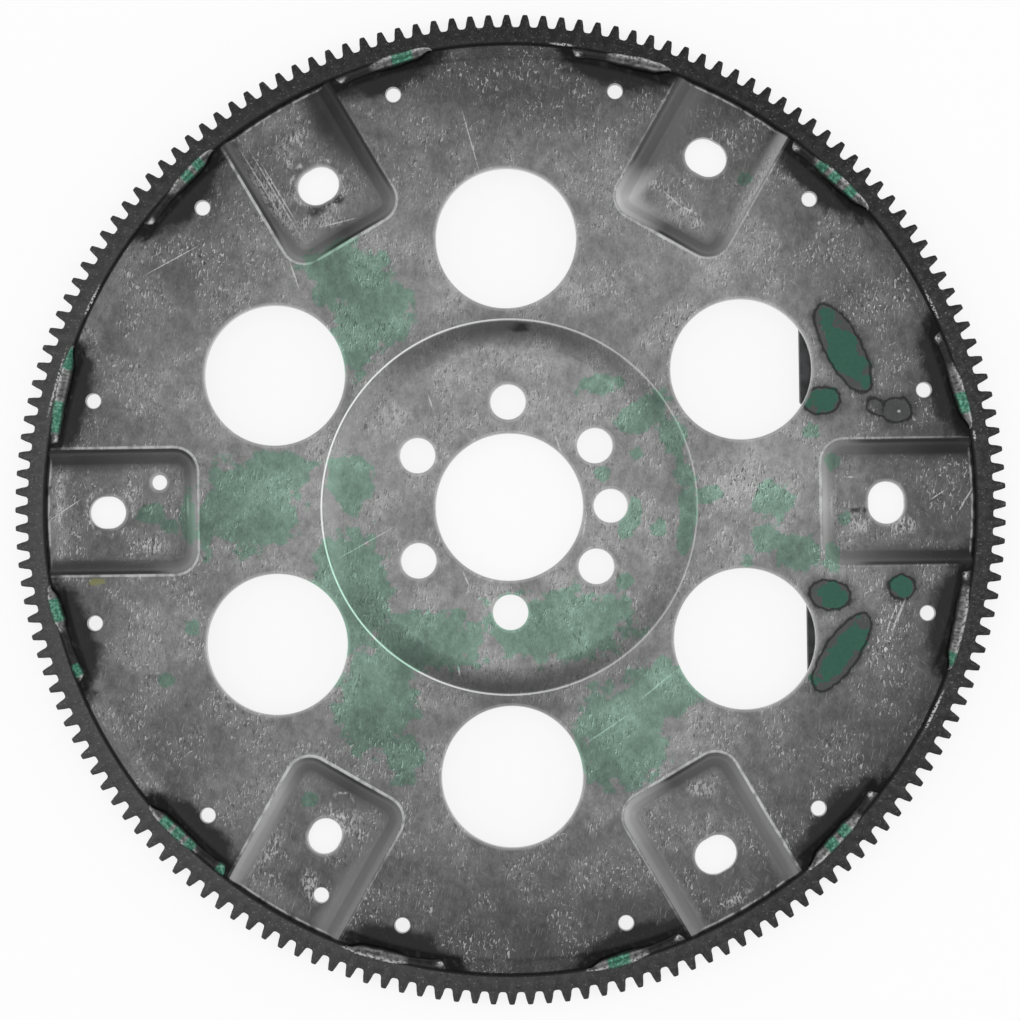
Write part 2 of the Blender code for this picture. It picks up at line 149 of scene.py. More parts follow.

# Painted light on each pad's walls, in turn round the pad: the side ahead of it at the rim and further
# in, the corner, the middle of the inner end, the corner, and the side behind it further in and at the
# rim. For each: the tone of the wall's painted shade from dark to light, the light end partly burnish
# from the die, how bright the painted highlight on its upper bend is, and how many millimetres in from
# the bend the painted shade fades out
WALL_STATIONS = (131, 66, 39, 0, -39, -66, -131)   # degrees round the pad's middle
PAD_WALL_PAINTED_LIGHT = (
    ((0.00, 0.25, 8), (0.10, 0.45, 8), (0.33, 0.55, 6), (0.70, 0.95, 6), (0.35, 0.15, 6), (0.14, 0.10, 8),
     (0.00, 0.08, 8)),
    ((0.17, 0.30, 14), (0.15, 0.25, 12), (0.95, 0.55, 10), (0.10, 1.00, 8), (0.22, 0.45, 10),
     (0.46, 0.45, 6), (0.50, 0.50, 6)),
    ((0.16, 0.75, 5), (0.12, 0.90, 5), (0.34, 0.60, 10), (0.05, 0.90, 9), (0.26, 0.80, 8),
     (0.07, 0.10, 9), (0.00, 0.00, 16)),
    ((0.04, 0.55, 7), (0.10, 0.75, 6), (0.34, 0.70, 6), (0.50, 0.65, 6), (0.12, 0.70, 8),
     (0.09, 0.75, 8), (0.03, 0.60, 9)),
    ((0.30, 0.25, 12), (0.28, 0.35, 10), (0.24, 0.80, 8), (0.09, 0.95, 10), (0.20, 0.85, 8),
     (0.60, 1.00, 6), (0.55, 0.60, 7)),
    ((0.30, 0.85, 8), (0.34, 0.95, 7), (0.20, 0.70, 9), (0.11, 0.85, 7), (0.72, 0.55, 7),
     (0.40, 0.45, 7), (0.36, 0.25, 8)),
)


# Marks on the disc's front face, each as its middle, half sizes in millimetres and turn in degrees
TINT_PATCHES = (                  # where the oil film is thick enough to look green
    (-58, 85, 16, 12, 0), (-48, 72, 14, 14, 0), (-55, 58, 7, 10, 0),
    (-93, 1, 17, 17, 0), (-82, 15, 12, 6, 0),
    (-58, -29, 15, 20, 0), (18, -43, 26, 13, 0), (-30, -48, 22, 11, 0),
    (63.6, -10.1, 3.2, 7, -9), (64.4, 0, 3.4, 8, 0), (63.3, 11.2, 3.6, 8, 10), (59.3, 25.2, 4.6, 8, 23),
    (51, 35, 9, 6, 25), (44, 30, 6, 5, 0), (33, 44, 8, 4, 0), (-57, 10, 8, 11, 0),
    (-49, -69, 14, 20, 0), (-60, -42, 7, 11, 0), (-39, -89, 7, 9, 0),
    (39, -84, 17, 18, 0), (55, -66, 13, 11, 0), (68, -54, 8, 8, 0),
    (96, 1, 7, 7, 0), (104, -18, 9, 7, 0), (92, -13, 4.5, 5.5, 0), (89.3, -0.6, 2.6, 2.6, 0),
    (84.7, -20.3, 3, 2.4, 0), (71.7, 3.3, 5, 3, 0), (108.8, 26.2, 3.2, 3.2, 0), (34, 11.8, 3, 3, 0),
    (46.4, 19.3, 3, 3, 0), (45.4, -2.4, 3, 5, 0), (41.7, -8.9, 3, 4, 0), (53.6, -8, 3, 3, 0),
    (41.5, -27.7, 3, 3, 0), (41.4, -35.2, 3, 3, 0), (116.8, 14.8, 3, 3, 0), (120.8, -5.1, 2.6, 2.6, 0),
    (116.3, -18.8, 3, 6, 0), (87.2, 118.4, 2.8, 2.8, 0), (-73.5, -104.7, 2.8, 2.8, 0),
    (-130, 0, 5.5, 3.8, 0), (-123.8, -5.6, 3, 3, 0), (-116.2, -3, 3.2, 10, 0), (-109.6, -6, 3.4, 10, 0),
    (-123.8, -60.6, 3, 3, 0), (-115.3, -41.6, 3, 3, 0),
)
HEAT_MARKS = (                    # temper marks over the weights' welds
    (121.2, 55.7, 18.0, 6.5, -63), (113.3, 37.0, 6.8, 5.0, 8), (115.1, -33.3, 7.6, 5.4, -8),
    (119.0, -53.8, 16.6, 6.1, 55), (141.0, -30.7, 5.0, 4.3, 0),
)
SPOT_MARKS = ((132.3, 34.6, 2.9, 3.2, 0), (140.2, 33.0, 5.4, 4.7, 0))
PRINTS = (                        # rings that bolt heads and washers pressed into the film
    (-61.6, -107.0, 4.7, 4.7, 0), (-145.3, 0.2, 8.7, 8.7, 0), (-68.3, 118.8, 9.4, 9.4, 0),
)
SCUFFS = (                        # rubbed to bright flecks
    (54.4, 116.7, 3.2, 2.0, 0), (60.5, 111.1, 3.4, 1.8, -50), (66.3, 106.6, 3.4, 1.8, -25),
    (69.9, 102.9, 2.2, 3.2, 0), (79.3, 100.6, 2.2, 2.5, 0), (89.5, 114.6, 18.0, 2.2, 60),
    (-76.2, 135.8, 5.8, 2.2, 20), (-79.2, 127.8, 2.2, 5.0, 0), (-64.1, 104.9, 7.2, 1.9, 8),
    (-85.9, 113.2, 18.0, 2.4, -58), (-73.2, 105.0, 2.0, 3.2, -60), (126.2, -7.3, 4.0, 3.6, 0),
    (143.1, -8.3, 5.0, 3.2, 0), (116.9, -0.7, 1.8, 9.0, 0), (-60.9, -113.2, 5.0, 4.3, 0),
    (-73.8, -135.8, 3.2, 6.5, 10), (-88.2, -123.0, 7.2, 2.9, 58), (-84.8, -146.5, 10.8, 1.8, -28),
    (67.6, -102.4, 5.8, 3.2, -15), (79.7, -142.8, 7.2, 1.8, 28), (-163.5, 4.8, 1.8, 10.8, 0),
    (-130.8, -12.0, 7.2, 2.9, 0), (-137.2, 7.4, 4.0, 1.8, 20),
)
WORN_AREAS = (                    # thickly covered with pick marks
    (85.0, 1.3, 12, 16, 0), (69.7, 62.9, 16, 12, 0), (137.0, -47.0, 11, 14, 0), (-107.2, 94.4, 11, 8, 0),
    (-106.0, 112.0, 9, 7, 0), (128.0, 72.0, 16, 12, 0),
)
SCRATCHES = (
    (139.5, -41.2, 6.2, 0.43, -113), (137.0, -42.0, 5.2, 0.29, -113), (-12.4, 133.1, 11.4, 0.22, -75),
    (165.0, 0.5, 5.5, 0.32, 58), (123.5, 9.4, 1.8, 0.29, -1), (155.1, 2.5, 3.3, 0.22, 33),
    (-76.7, 84.7, 5.2, 0.29, -72), (-83.7, 115.0, 17.1, 0.29, -60), (-82.6, 115.6, 12.2, 0.25, -60),
    (-88.4, 117.9, 16.1, 0.25, -59), (-61.2, 104.6, 6.8, 0.29, 13), (-120.9, 91.0, 11.3, 0.22, 28),
    (-52.0, -12.4, 10.9, 0.22, 29), (17.9, 22.7, 3.3, 0.32, -71), (27.3, -6.5, 4.4, 0.32, -100),
    (-15.9, -25.9, 2.8, 0.32, -67), (-18.9, -58.5, 2.0, 0.32, -80), (52.8, -64.9, 8.4, 0.25, 39),
    (34.6, -80.3, 8.7, 0.22, 33), (-161.7, 1.1, 6.6, 0.22, 33), (-28.0, 38.2, 2.9, 0.29, -72),
    (140.9, 32.6, 0.6, 0.5, 0), (116.4, -0.9, 0.5, 3.8, 0), (-116.5, 1.9, 0.5, 4.0, 0),
    (60.5, 111.6, 3.8, 0.3, -44), (66.0, 107.6, 2.4, 0.3, -28),
)
SMEARS = (                        # dirt that was dragged
    (126.6, -2.6, 4.3, 1.1, 0), (-68.4, 111.2, 3.2, 5.8, -35), (-61.1, 112.9, 2.9, 1.8, 30),
    (4.7, 64.8, 4.3, 1.8, 0), (140.0, 33.2, 1.0, 0.8, 0),
)
SHADE_AREAS = (                    # painted shade in soft areas
    (149.9, 11.3, 21.6, 43.3, 0), (5.9, 158.3, 50.5, 22.0, 0), (2.2, -141.4, 88.0, 32.4, 0),
    (0, -71.5, 30, 6.5, 0), (42, -60, 18, 6.5, 35),
    (-29.6, -90.9, 43.3, 32.4, 0), (103.1, -106.7, 32.4, 25.2, 0), (124, -86, 26, 32, -35),
)
# Painted light in soft areas, among them a band along the lip between two welds
LIGHT_AREAS = (
    (94.1, 8.4, 25.2, 21.6, 0), (-133.0, 58.5, 25.2, 32.4, 0), (-130.2, -50.1, 21.6, 25.2, 0),
    (88.0, 82.0, 34.0, 26.0, -45), (138.0, 74.0, 19.0, 4.0, -58), (45.3, 111.3, 2.9, 4.3, 0),
    (45.9, -106.5, 2.9, 5.0, 0),
)
YELLOW_SPOT = ((-149.2, -25.3, 3.6, 1.4, 0),)
GEAR_GLINTS = [                     # painted highlights along the gear's inner edge
    (radius * math.cos(math.radians(degrees)), radius * math.sin(math.radians(degrees)), half, 0.45,
     degrees + 90)
    for degrees, radius, half in ((24.8, 169.6, 5.2), (82.8, 169.5, 3.8), (153.0, 169.4, 5.5),
                                  (164.0, 170.6, 11.0), (249.6, 169.6, 2.9), (279.6, 169.3, 2.2),
                                  (309.5, 169.6, 2.4), (333.5, 169.9, 7.2), (8.0, 170.1, 1.6))]
FIELDS = {                        # groups of marks that the mesh carries as distances
    "film": TINT_PATCHES, "scorch": HEAT_MARKS + SPOT_MARKS[1:], "temper": HEAT_MARKS, "print": PRINTS,
    "scuff": SCUFFS, "worn_area": WORN_AREAS, "smear": SMEARS, "painted_shade_area": SHADE_AREAS,
    "painted_light_area": LIGHT_AREAS, "yellow": YELLOW_SPOT,
}


def polar(radius, angle):
    return Vector((radius * math.cos(angle), radius * math.sin(angle)))


def placed(data):
    """Object of a mesh, light or camera, in the scene under the same name."""
    thing = bpy.data.objects.new(data.name, data)
    bpy.context.scene.collection.objects.link(thing)
    return thing


def finished(mesh, solid=None):
    """Object of a mesh that is shaded smooth but for its sharp edges. A solid is written to it first."""
    if solid is not None:
        bmesh.ops.recalc_face_normals(solid, faces=solid.faces)
        solid.to_mesh(mesh)
        solid.free()
    mesh.shade_smooth()
    mesh.set_sharp_from_angle(angle=SHARP_ANGLE)
    return placed(mesh)


def new_piece(name, verts, faces):
    """A piece at the origin, with its place in its mesh, its faces turned outwards and shaded smooth."""
    mesh = bpy.data.meshes.new(name)
    mesh.from_pydata(verts, [], faces)
    solid = bmesh.new()
    solid.from_mesh(mesh)
    return finished(mesh, solid)


def wall_drop(distance, depth, slope, shoulder, foot):
    """Height lost at a distance down a pressed wall: round shoulder, straight slope, round foot."""
    if distance <= 0:
        return 0.0
    shoulder_run = shoulder * math.sin(slope)
    if distance < shoulder_run:
        return shoulder - math.sqrt(shoulder ** 2 - distance ** 2)
    bends = (shoulder + foot) * (1 - math.cos(slope))
    foot_start = shoulder_run + (depth - bends) / math.tan(slope)
    if distance < foot_start:
        return shoulder * (1 - math.cos(slope)) + (distance - shoulder_run) * math.tan(slope)
    left = foot_start + foot * math.sin(slope) - distance
    return depth - (foot - math.sqrt(foot ** 2 - left ** 2)) if left > 0 else depth


def lip_drop(distance):
    bend_run = LIP_BEND * math.sin(LIP_SLOPE)
    if distance < bend_run:
        return LIP_BEND - math.sqrt(LIP_BEND ** 2 - max(distance, 0) ** 2)
    return LIP_BEND * (1 - math.cos(LIP_SLOPE)) + (distance - bend_run) * math.tan(LIP_SLOPE)


def wall_lines(depth, slope, shoulder, foot, steps):
    """Distances down a wall at which its mesh has an edge, with a guard line on each side of it."""
    shoulder_run = shoulder * math.sin(slope)
    foot_start = shoulder_run + (depth - (shoulder + foot) * (1 - math.cos(slope))) / math.tan(slope)
    runs = [shoulder * math.sin(slope * i / steps) for i in range(steps + 1)]
    runs += [foot_start + foot * (math.sin(slope) - math.sin(slope * (steps - i) / steps))
             for i in range(steps + 1)]
    return [-0.8 * MM, -0.3 * MM] + runs + [runs[-1] + 0.5 * MM]


PAD_LINES = wall_lines(PAD_DEPTH, PAD_SLOPE, PAD_SHOULDER, PAD_FOOT, 7)
HUB_LINES = wall_lines(HUB_DEPTH, HUB_SLOPE, HUB_BEND, HUB_BEND, 4)
LIP_LINES = [-0.6 * MM] + [LIP_BEND * math.sin(LIP_SLOPE * i / 5) for i in range(6)] + [4.0 * MM, 5.6 * MM]


def depth_into_pad(point, angle):
    along = point.x * math.cos(angle) + point.y * math.sin(angle)
    aside = abs(point.y * math.cos(angle) - point.x * math.sin(angle))
    corner_a = aside - (PAD_WIDTH / 2 - PAD_CORNER)
    corner_b = PAD_INNER_RADIUS + PAD_CORNER - along
    outside = math.hypot(max(corner_a, 0), max(corner_b, 0)) + min(max(corner_a, corner_b), 0)
    return PAD_CORNER - outside


def nearest_pad(point):
    return round(math.atan2(point.y, point.x) / (math.tau / PAD_COUNT)) % PAD_COUNT


def pressed_height(point):
    """Height of the sheet's front face, before the holes are punched."""
    radius = point.length
    height = WEB_HEIGHT - wall_drop(HUB_RADIUS - radius, HUB_DEPTH, HUB_SLOPE, HUB_BEND, HUB_BEND)
    height -= lip_drop(radius - LIP_START)
    inset = depth_into_pad(point, PAD_ANGLES[nearest_pad(point)])
    sunk = wall_drop(inset, PAD_DEPTH, PAD_SLOPE, PAD_SHOULDER, PAD_FOOT) / PAD_DEPTH
    return height + (WEB_HEIGHT - PAD_DEPTH - height) * sunk


def list_holes():
    """Each hole as centre, turn, half length and half width of its straight part, and end radius."""
    found = [(Vector((0, 0)), 0, 0, 0, PILOT_RADIUS, 144)]
    for degrees in CRANK_HOLE_ANGLES:
        found.append((polar(CRANK_CIRCLE_RADIUS, math.radians(degrees)), 0, 0, 0, CRANK_HOLE_RADIUS, 48))
    found.append((polar(DOWEL_CIRCLE_RADIUS, 0), 0, 0, 0, DOWEL_HOLE_RADIUS, 48))
    for i in range(6):
        centre = polar(LIGHTENING_CIRCLE_RADIUS, math.tau * (i + 0.5) / 6)
        found.append((centre, 0, 0, 0, LIGHTENING_HOLE_RADIUS, 128))
    for i in range(12):
        centre = polar(RIM_HOLE_CIRCLE_RADIUS, math.tau * (i + 0.5) / 12)
        found.append((centre, 0, 0, 0, RIM_HOLE_RADIUS, 28))
    for degrees, circle in GAUGE_HOLES:
        found.append((polar(circle, math.radians(degrees)), 0, 0, 0, GAUGE_HOLE_RADIUS, 28))
    for degrees, circle, across, along in CONVERTER_HOLES:
        turn = math.radians(degrees)
        radius = min(across, along) / 2
        found.append((polar(circle, turn), turn, across / 2 - radius, along / 2 - radius, radius, 56))
    return found


HOLES = list_holes()


def hole_outline(hole, grown):
    centre, turn, half_x, half_y, radius, steps = hole
    outline = []
    for i in range(steps):
        angle = math.tau * (i + 0.5) / steps
        x = (radius + grown) * math.cos(angle) + math.copysign(half_x, math.cos(angle))
        y = (radius + grown) * math.sin(angle) + math.copysign(half_y, math.sin(angle))
        outline.append(centre + Matrix.Rotation(turn, 2) @ Vector((x, y)))
    return outline


def hole_distance(point):
    """Distance from the edge of the nearest hole."""
    best = 1.0
    for centre, turn, half_x, half_y, radius, _ in HOLES:
        away = point - centre
        if away.length > radius + 12 * MM:
            continue
        local = Matrix.Rotation(-turn, 2) @ away
        x = max(abs(local.x) - half_x, 0)
        y = max(abs(local.y) - half_y, 0)
        best = min(best, math.hypot(x, y) - radius)
    return best


def pad_outline(angle, inset):
    """One line of a pad's wall: straight sides, round corners, run out past the rim."""
    half = PAD_WIDTH / 2 - inset
    inner = PAD_INNER_RADIUS + inset
    corner = PAD_CORNER - inset
    outer = DISC_RADIUS + SHEET
    start = inner + corner
    side = [Vector((outer + (start - outer) * i / 12, half)) for i in range(12)]
    for i in range(9):
        side.append(Vector((start, half - corner)) + polar(corner, math.pi / 2 * (1 + i / 8)))
    end = [Vector((inner, (half - corner) * (1 - 2 * i / 6))) for i in range(1, 6)]
    outline = side + end + [Vector((p.x, -p.y)) for p in reversed(side)]
    return [Matrix.Rotation(angle, 2) @ p for p in outline]


def blank_triangles():
    """The flat blank with an edge on every line where it bends and round every hole."""
    points, edges, loops = [], [], []

    def add_line(line, closed):
        first, count = len(points), len(line)
        points.extend(line)
        if closed:
            loops.append(list(range(first, first + count)))
        else:
            edges.extend((first + i, first + i + 1) for i in range(count - 1))

    rim_steps = 2 * TEETH
    add_line([polar(DISC_RADIUS, math.tau * i / rim_steps) for i in range(rim_steps)], True)
    for hole in HOLES:
        add_line(hole_outline(hole, 0), True)
    for hole in HOLES:
        for share in ROLL_RINGS:
            ring = hole_outline(hole, ROLL_WIDTH * share)
            add_line(ring + ring[:1], False)
    for run in HUB_LINES:
        ring = [polar(HUB_RADIUS - run, math.tau * i / 192) for i in range(193)]
        add_line(ring, False)
    for angle in PAD_ANGLES:
        for run in PAD_LINES:
            add_line(pad_outline(angle, run), False)
        steps = rim_steps // PAD_COUNT
        for run in LIP_LINES:
            add_line([polar(LIP_START + run, angle + math.tau / rim_steps * i)
                      for i in range(3, steps - 2)], False)
    lines = np.array([tuple(p) for p in points])
    reach = int(DISC_RADIUS / GRID)
    for row in range(-reach, reach + 1):
        for column in range(-reach, reach + 1):
            p = Vector((column * GRID, (row + 0.5 * (column % 2)) * GRID))
            if p.length < DISC_RADIUS - GRID and hole_distance(p) > 0.6 * GRID:
                if np.abs(lines - p).sum(1).min() > 0.5 * GRID:
                    points.append(p)
    corners, _, faces, _, _, sources = delaunay_2d_cdt(points, edges, loops, 0, 0.002 * MM, True)
    kept = [face for face, source in zip(faces, sources) if 0 in source and len(source) == 1]
    return corners, kept


def pad_wall_shading(point, pad):
    """Painted shade of the nearest wall of a pad, how bright the painted highlight on its upper bend is and
    how far the shade fades.
    """
    angle = PAD_ANGLES[pad]
    aside = point.y * math.cos(angle) - point.x * math.sin(angle)
    along = point.x * math.cos(angle) + point.y * math.sin(angle)
    seen_at = math.degrees(math.atan2(aside, (DISC_RADIUS + PAD_INNER_RADIUS) / 2 - along))
    return [np.interp(-seen_at, [-a for a in WALL_STATIONS], column) for column in zip(*PAD_WALL_PAINTED_LIGHT[pad])]


def from_middle(points, mark):
    """How far points lie from a mark's middle, along and across it, as shares of its half sizes."""
    x, y, half_x, half_y, degrees = mark
    turn = math.radians(degrees)
    away = points - np.array((x * MM, y * MM))
    return (away @ np.array((math.cos(turn), math.sin(turn))) / (half_x * MM),
            away @ np.array((-math.sin(turn), math.cos(turn))) / (half_y * MM))


def nearest(points, marks):
    """Distance of each point from the nearest mark's middle, as a share of its half sizes."""
    closest = np.full(len(points), 9.0)
    for mark in marks:
        closest = np.minimum(closest, np.hypot(*from_middle(points, mark)))
    return closest


def outline_gap(points, marks):
    """Distance of each point from the nearest mark's outline, less than 0 inside it."""
    closest = np.full(len(points), 1.0)
    for mark in marks:
        across, up = from_middle(points, mark)
        half_x, half_y = mark[2] * MM, mark[3] * MM
        share = np.hypot(across, up)
        steepness = np.hypot(across / half_x, up / half_y) / np.maximum(share, 0.05)
        steepness = np.maximum(steepness, 1 / max(half_x, half_y))
        closest = np.minimum(closest, (share - 1) / steepness)
    return closest


def note_values(mesh, columns):
    """Notes named values of a mesh's points on it."""
    for name, values in columns.items():
        attribute = mesh.attributes.new(name, "FLOAT", "POINT")
        attribute.data.foreach_set("value", np.array(values, np.float32))


def cloud(point, size):
    """Soft uneven value between 0 and 1, with spots of a size."""
    return 0.5 + 0.5 * noise.fractal(Vector((point.x, point.y, 0)) / size, 0.7, 2.0, 3)


def make_disc():
    """Presses the fine blank to its heights, front and rear, and closes the holes and the rim."""
    corners, faces = blank_triangles()
    used = sorted({i for face in faces for i in face})
    index_of = {old: new for new, old in enumerate(used)}
    faces = [tuple(index_of[i] for i in face) for face in faces]
    flat = [corners[i] for i in used]
    front, rear, marks = [], [], []
    for p in flat:
        height = pressed_height(p)
        normal = Vector((
            pressed_height(p - Vector((SLOPE_STEP, 0))) - pressed_height(p + Vector((SLOPE_STEP, 0))),
            pressed_height(p - Vector((0, SLOPE_STEP))) - pressed_height(p + Vector((0, SLOPE_STEP))),
            2 * SLOPE_STEP,
        )).normalized()
        gap = hole_distance(p)
        near = max(1 - max(gap, 0) / ROLL_WIDTH, 0)
        roll = ROLL_DROP * (1 - math.sqrt(1 - min(near, 1) ** 2))
        front.append((p.x, p.y, height - roll))
        rear.append(tuple(Vector((p.x, p.y, height)) - normal * SHEET))
        pad = nearest_pad(p)
        # Depth into the pad, the painted shade and highlight of its nearest wall, and distance from a hole
        marks.append((depth_into_pad(p, PAD_ANGLES[pad]), *pad_wall_shading(p, pad), max(gap, 0),
                      cloud(p, 45 * MM), cloud(p, 14 * MM)))
    count = len(flat)
    edges = [(a, b) for face in faces for a, b in zip(face, face[1:] + face[:1])]
    known = set(edges)
    rims = [(a, b) for a, b in edges if (b, a) not in known]
    all_faces = [tuple(f) for f in faces]
    all_faces += [tuple(i + count for i in reversed(f)) for f in faces]
    all_faces += [(b, a, a + count, b + count) for a, b in rims]
    piece = new_piece("flexplate_disc_pressed", front + rear, all_faces)
    columns = dict(zip(("pad_depth", "wall_shade_tone", "bend_highlight", "shade_spread", "hole_gap", "clouds", "blotches"),
                       zip(*marks)))
    points = np.array([tuple(p) for p in flat])
    columns.update((name, nearest(points, table)) for name, table in FIELDS.items())
    columns["burn"] = outline_gap(points, HEAT_MARKS + SPOT_MARKS)
    columns = {name: list(values) * 2 for name, values in columns.items()}
    columns["front"] = [1.0] * count + [0.0] * count
    note_values(piece.data, columns)
    return piece


def tooth_slice():
    """One tooth with its share of the ring, open towards its neighbours, chamfered front and rear."""
    pitch = math.tau / TEETH
    half = [(base + rise * MM, width * MM)
            for base, outline in ((GEAR_ROOT_RADIUS, TOOTH_FLANK), (GEAR_TIP_RADIUS, TOOTH_CROWN))
            for rise, width in outline]
    outer = [(GEAR_ROOT_RADIUS, -pitch / 2)]
    outer += [(radius, -width / radius) for radius, width in half]
    outer += [(radius, width / radius) for radius, width in reversed(half)]
    outer += [(GEAR_ROOT_RADIUS, pitch / 2)]
    points = [polar(r, a) for r, a in outer]
    inward = []
    for i, p in enumerate(points):
        a = points[max(i - 1, 0)]
        b = points[min(i + 1, len(points) - 1)]
        along = (b - a).normalized()
        away = Vector((-along.y, along.x))
        inward.append(away if away.dot(-p) > 0 or abs(away.dot(p.normalized())) < 0.3 else -away)
    inward[0] = -points[0].normalized()
    inward[-1] = -points[-1].normalized()
    bore = [polar(GEAR_BORE_RADIUS, pitch * (t - 0.5)) for t in (0, 0.5, 1)]
    levels = [(0.0, 1.0), (GEAR_CHAMFER * 0.4, 0.3), (GEAR_CHAMFER, 0.0),
              (GEAR_WIDTH - GEAR_CHAMFER, 0.0), (GEAR_WIDTH - GEAR_CHAMFER * 0.4, 0.3), (GEAR_WIDTH, 1.0)]
    verts, faces = [], []
    rows_outer, rows_bore = [], []
    for z, share in levels:
        inset = GEAR_CHAMFER * share
        rows_outer.append(list(range(len(verts), len(verts) + len(points))))
        verts += [(*(p + n * inset), z) for p, n in zip(points, inward)]
        rows_bore.append(list(range(len(verts), len(verts) + len(bore))))
        verts += [(*(p + p.normalized() * inset * 0.6), z) for p in bore]
    for rows in (rows_outer, rows_bore):
        for low, high in zip(rows, rows[1:]):
            for i in range(len(low) - 1):
                quad = (low[i], low[i + 1], high[i + 1], high[i])
                faces.append(quad if rows is rows_outer else quad[::-1])
    faces.append(tuple(rows_outer[-1] + rows_bore[-1][::-1]))
    faces.append(tuple(rows_outer[0][::-1] + rows_bore[0]))
    mesh = bpy.data.meshes.new("tooth slice")
    mesh.from_pydata(verts, [], faces)
    mesh.validate()
    return mesh


def feed(tree, node, inputs):
    """Feeds a node's inputs with values or with other nodes."""
    for socket, value in inputs.items():
        if isinstance(value, bpy.types.Node):
            value = value.outputs[0]
        if isinstance(value, bpy.types.NodeSocket):
            tree.links.new(value, node.inputs[socket])
        else:
            node.inputs[socket].default_value = value


def add(tree, kind, inputs=None, **settings):
    """Adds a node with its settings and inputs."""
    node = tree.nodes.new(kind)
    for name, value in settings.items():
        setattr(node, name, value)
    feed(tree, node, inputs or {})
    return node


def gear_tree(material):
    """Geometry nodes that lay one tooth slice round the ring as many times as there are teeth."""
    tree = bpy.data.node_groups.new("ring of teeth", "GeometryNodeTree")
    tree.interface.new_socket("Tooth", in_out="INPUT", socket_type="NodeSocketGeometry")
    teeth = tree.interface.new_socket("Teeth", in_out="INPUT", socket_type="NodeSocketInt")
    turn = tree.interface.new_socket("Turn", in_out="INPUT", socket_type="NodeSocketFloat")
    tree.interface.new_socket("Ring", in_out="OUTPUT", socket_type="NodeSocketGeometry")
    entry = add(tree, "NodeGroupInput")
    places = add(tree, "GeometryNodePoints", {"Count": entry.outputs["Teeth"]})
    number = add(tree, "GeometryNodeInputIndex")
    pitch = add(tree, "ShaderNodeMath", {0: math.tau, 1: entry.outputs["Teeth"]}, operation="DIVIDE")
    angle = add(tree, "ShaderNodeMath", {0: number, 1: pitch, 2: entry.outputs["Turn"]},
                operation="MULTIPLY_ADD")
    turned = add(tree, "ShaderNodeCombineXYZ", {"Z": angle})
    rotation = add(tree, "FunctionNodeEulerToRotation", {0: turned})
    ring = add(tree, "GeometryNodeInstanceOnPoints",
               {"Points": places, "Instance": entry.outputs["Tooth"], "Rotation": rotation})
    real = add(tree, "GeometryNodeRealizeInstances", {0: ring})
    joined = add(tree, "GeometryNodeMergeByDistance", {"Geometry": real, "Distance": 0.002 * MM})
    finished = add(tree, "GeometryNodeSetMaterial", {"Geometry": joined, "Material": material})
    leave = add(tree, "NodeGroupOutput")
    tree.links.new(finished.outputs[0], leave.inputs[0])
    return tree, teeth.identifier, turn.identifier


def make_ring_gear(material):
    """Ring gear from one tooth slice, made a plain mesh."""
    seed = placed(tooth_slice())
    tree, teeth, turn = gear_tree(material)
    ring = seed.modifiers.new("ring of teeth", "NODES")
    ring.node_group = tree
    ring[teeth] = TEETH
    ring[turn] = GEAR_TURN
    graph = bpy.context.evaluated_depsgraph_get()
    mesh = bpy.data.meshes.new_from_object(seed.evaluated_get(graph))
    seed.modifiers.remove(ring)
    bpy.data.objects.remove(seed)
    mesh.name = "ring_gear_toothed"
    return finished(mesh)


def loft(name, sections):
    """Closed solid through sections that have the same number of corners."""
    size = len(sections[0])
    verts = [corner for section in sections for corner in section]
    faces = []
    for k in range(len(sections) - 1):
        for i in range(size):
            j = (i + 1) % size
            faces.append((k * size + i, k * size + j, (k + 1) * size + j, (k + 1) * size + i))
    faces.append(tuple(range(size)))
    faces.append(tuple(len(verts) - 1 - i for i in range(size)))
    return new_piece(name, verts, faces)


def between(table, share):
    """Smooth value along a table of sizes."""
    place = min(max(share, 0), 1) * (len(table) - 1)
    low = min(int(place), len(table) - 2)
    t = place - low
    t = t * t * (3 - 2 * t)
    return table[low] * (1 - t) + table[low + 1] * t


def rim_bead_size(share, crown):
    """Width along a rim bead: a full crown, then a thin tail that swells at its crater."""
    if share < crown:
        return between((0.45, 0.92, 1.0, 0.95, 0.62), share / crown)
    return between((0.62, 0.50, 0.50, 0.62, 0.35), (share - crown) / (1 - crown))


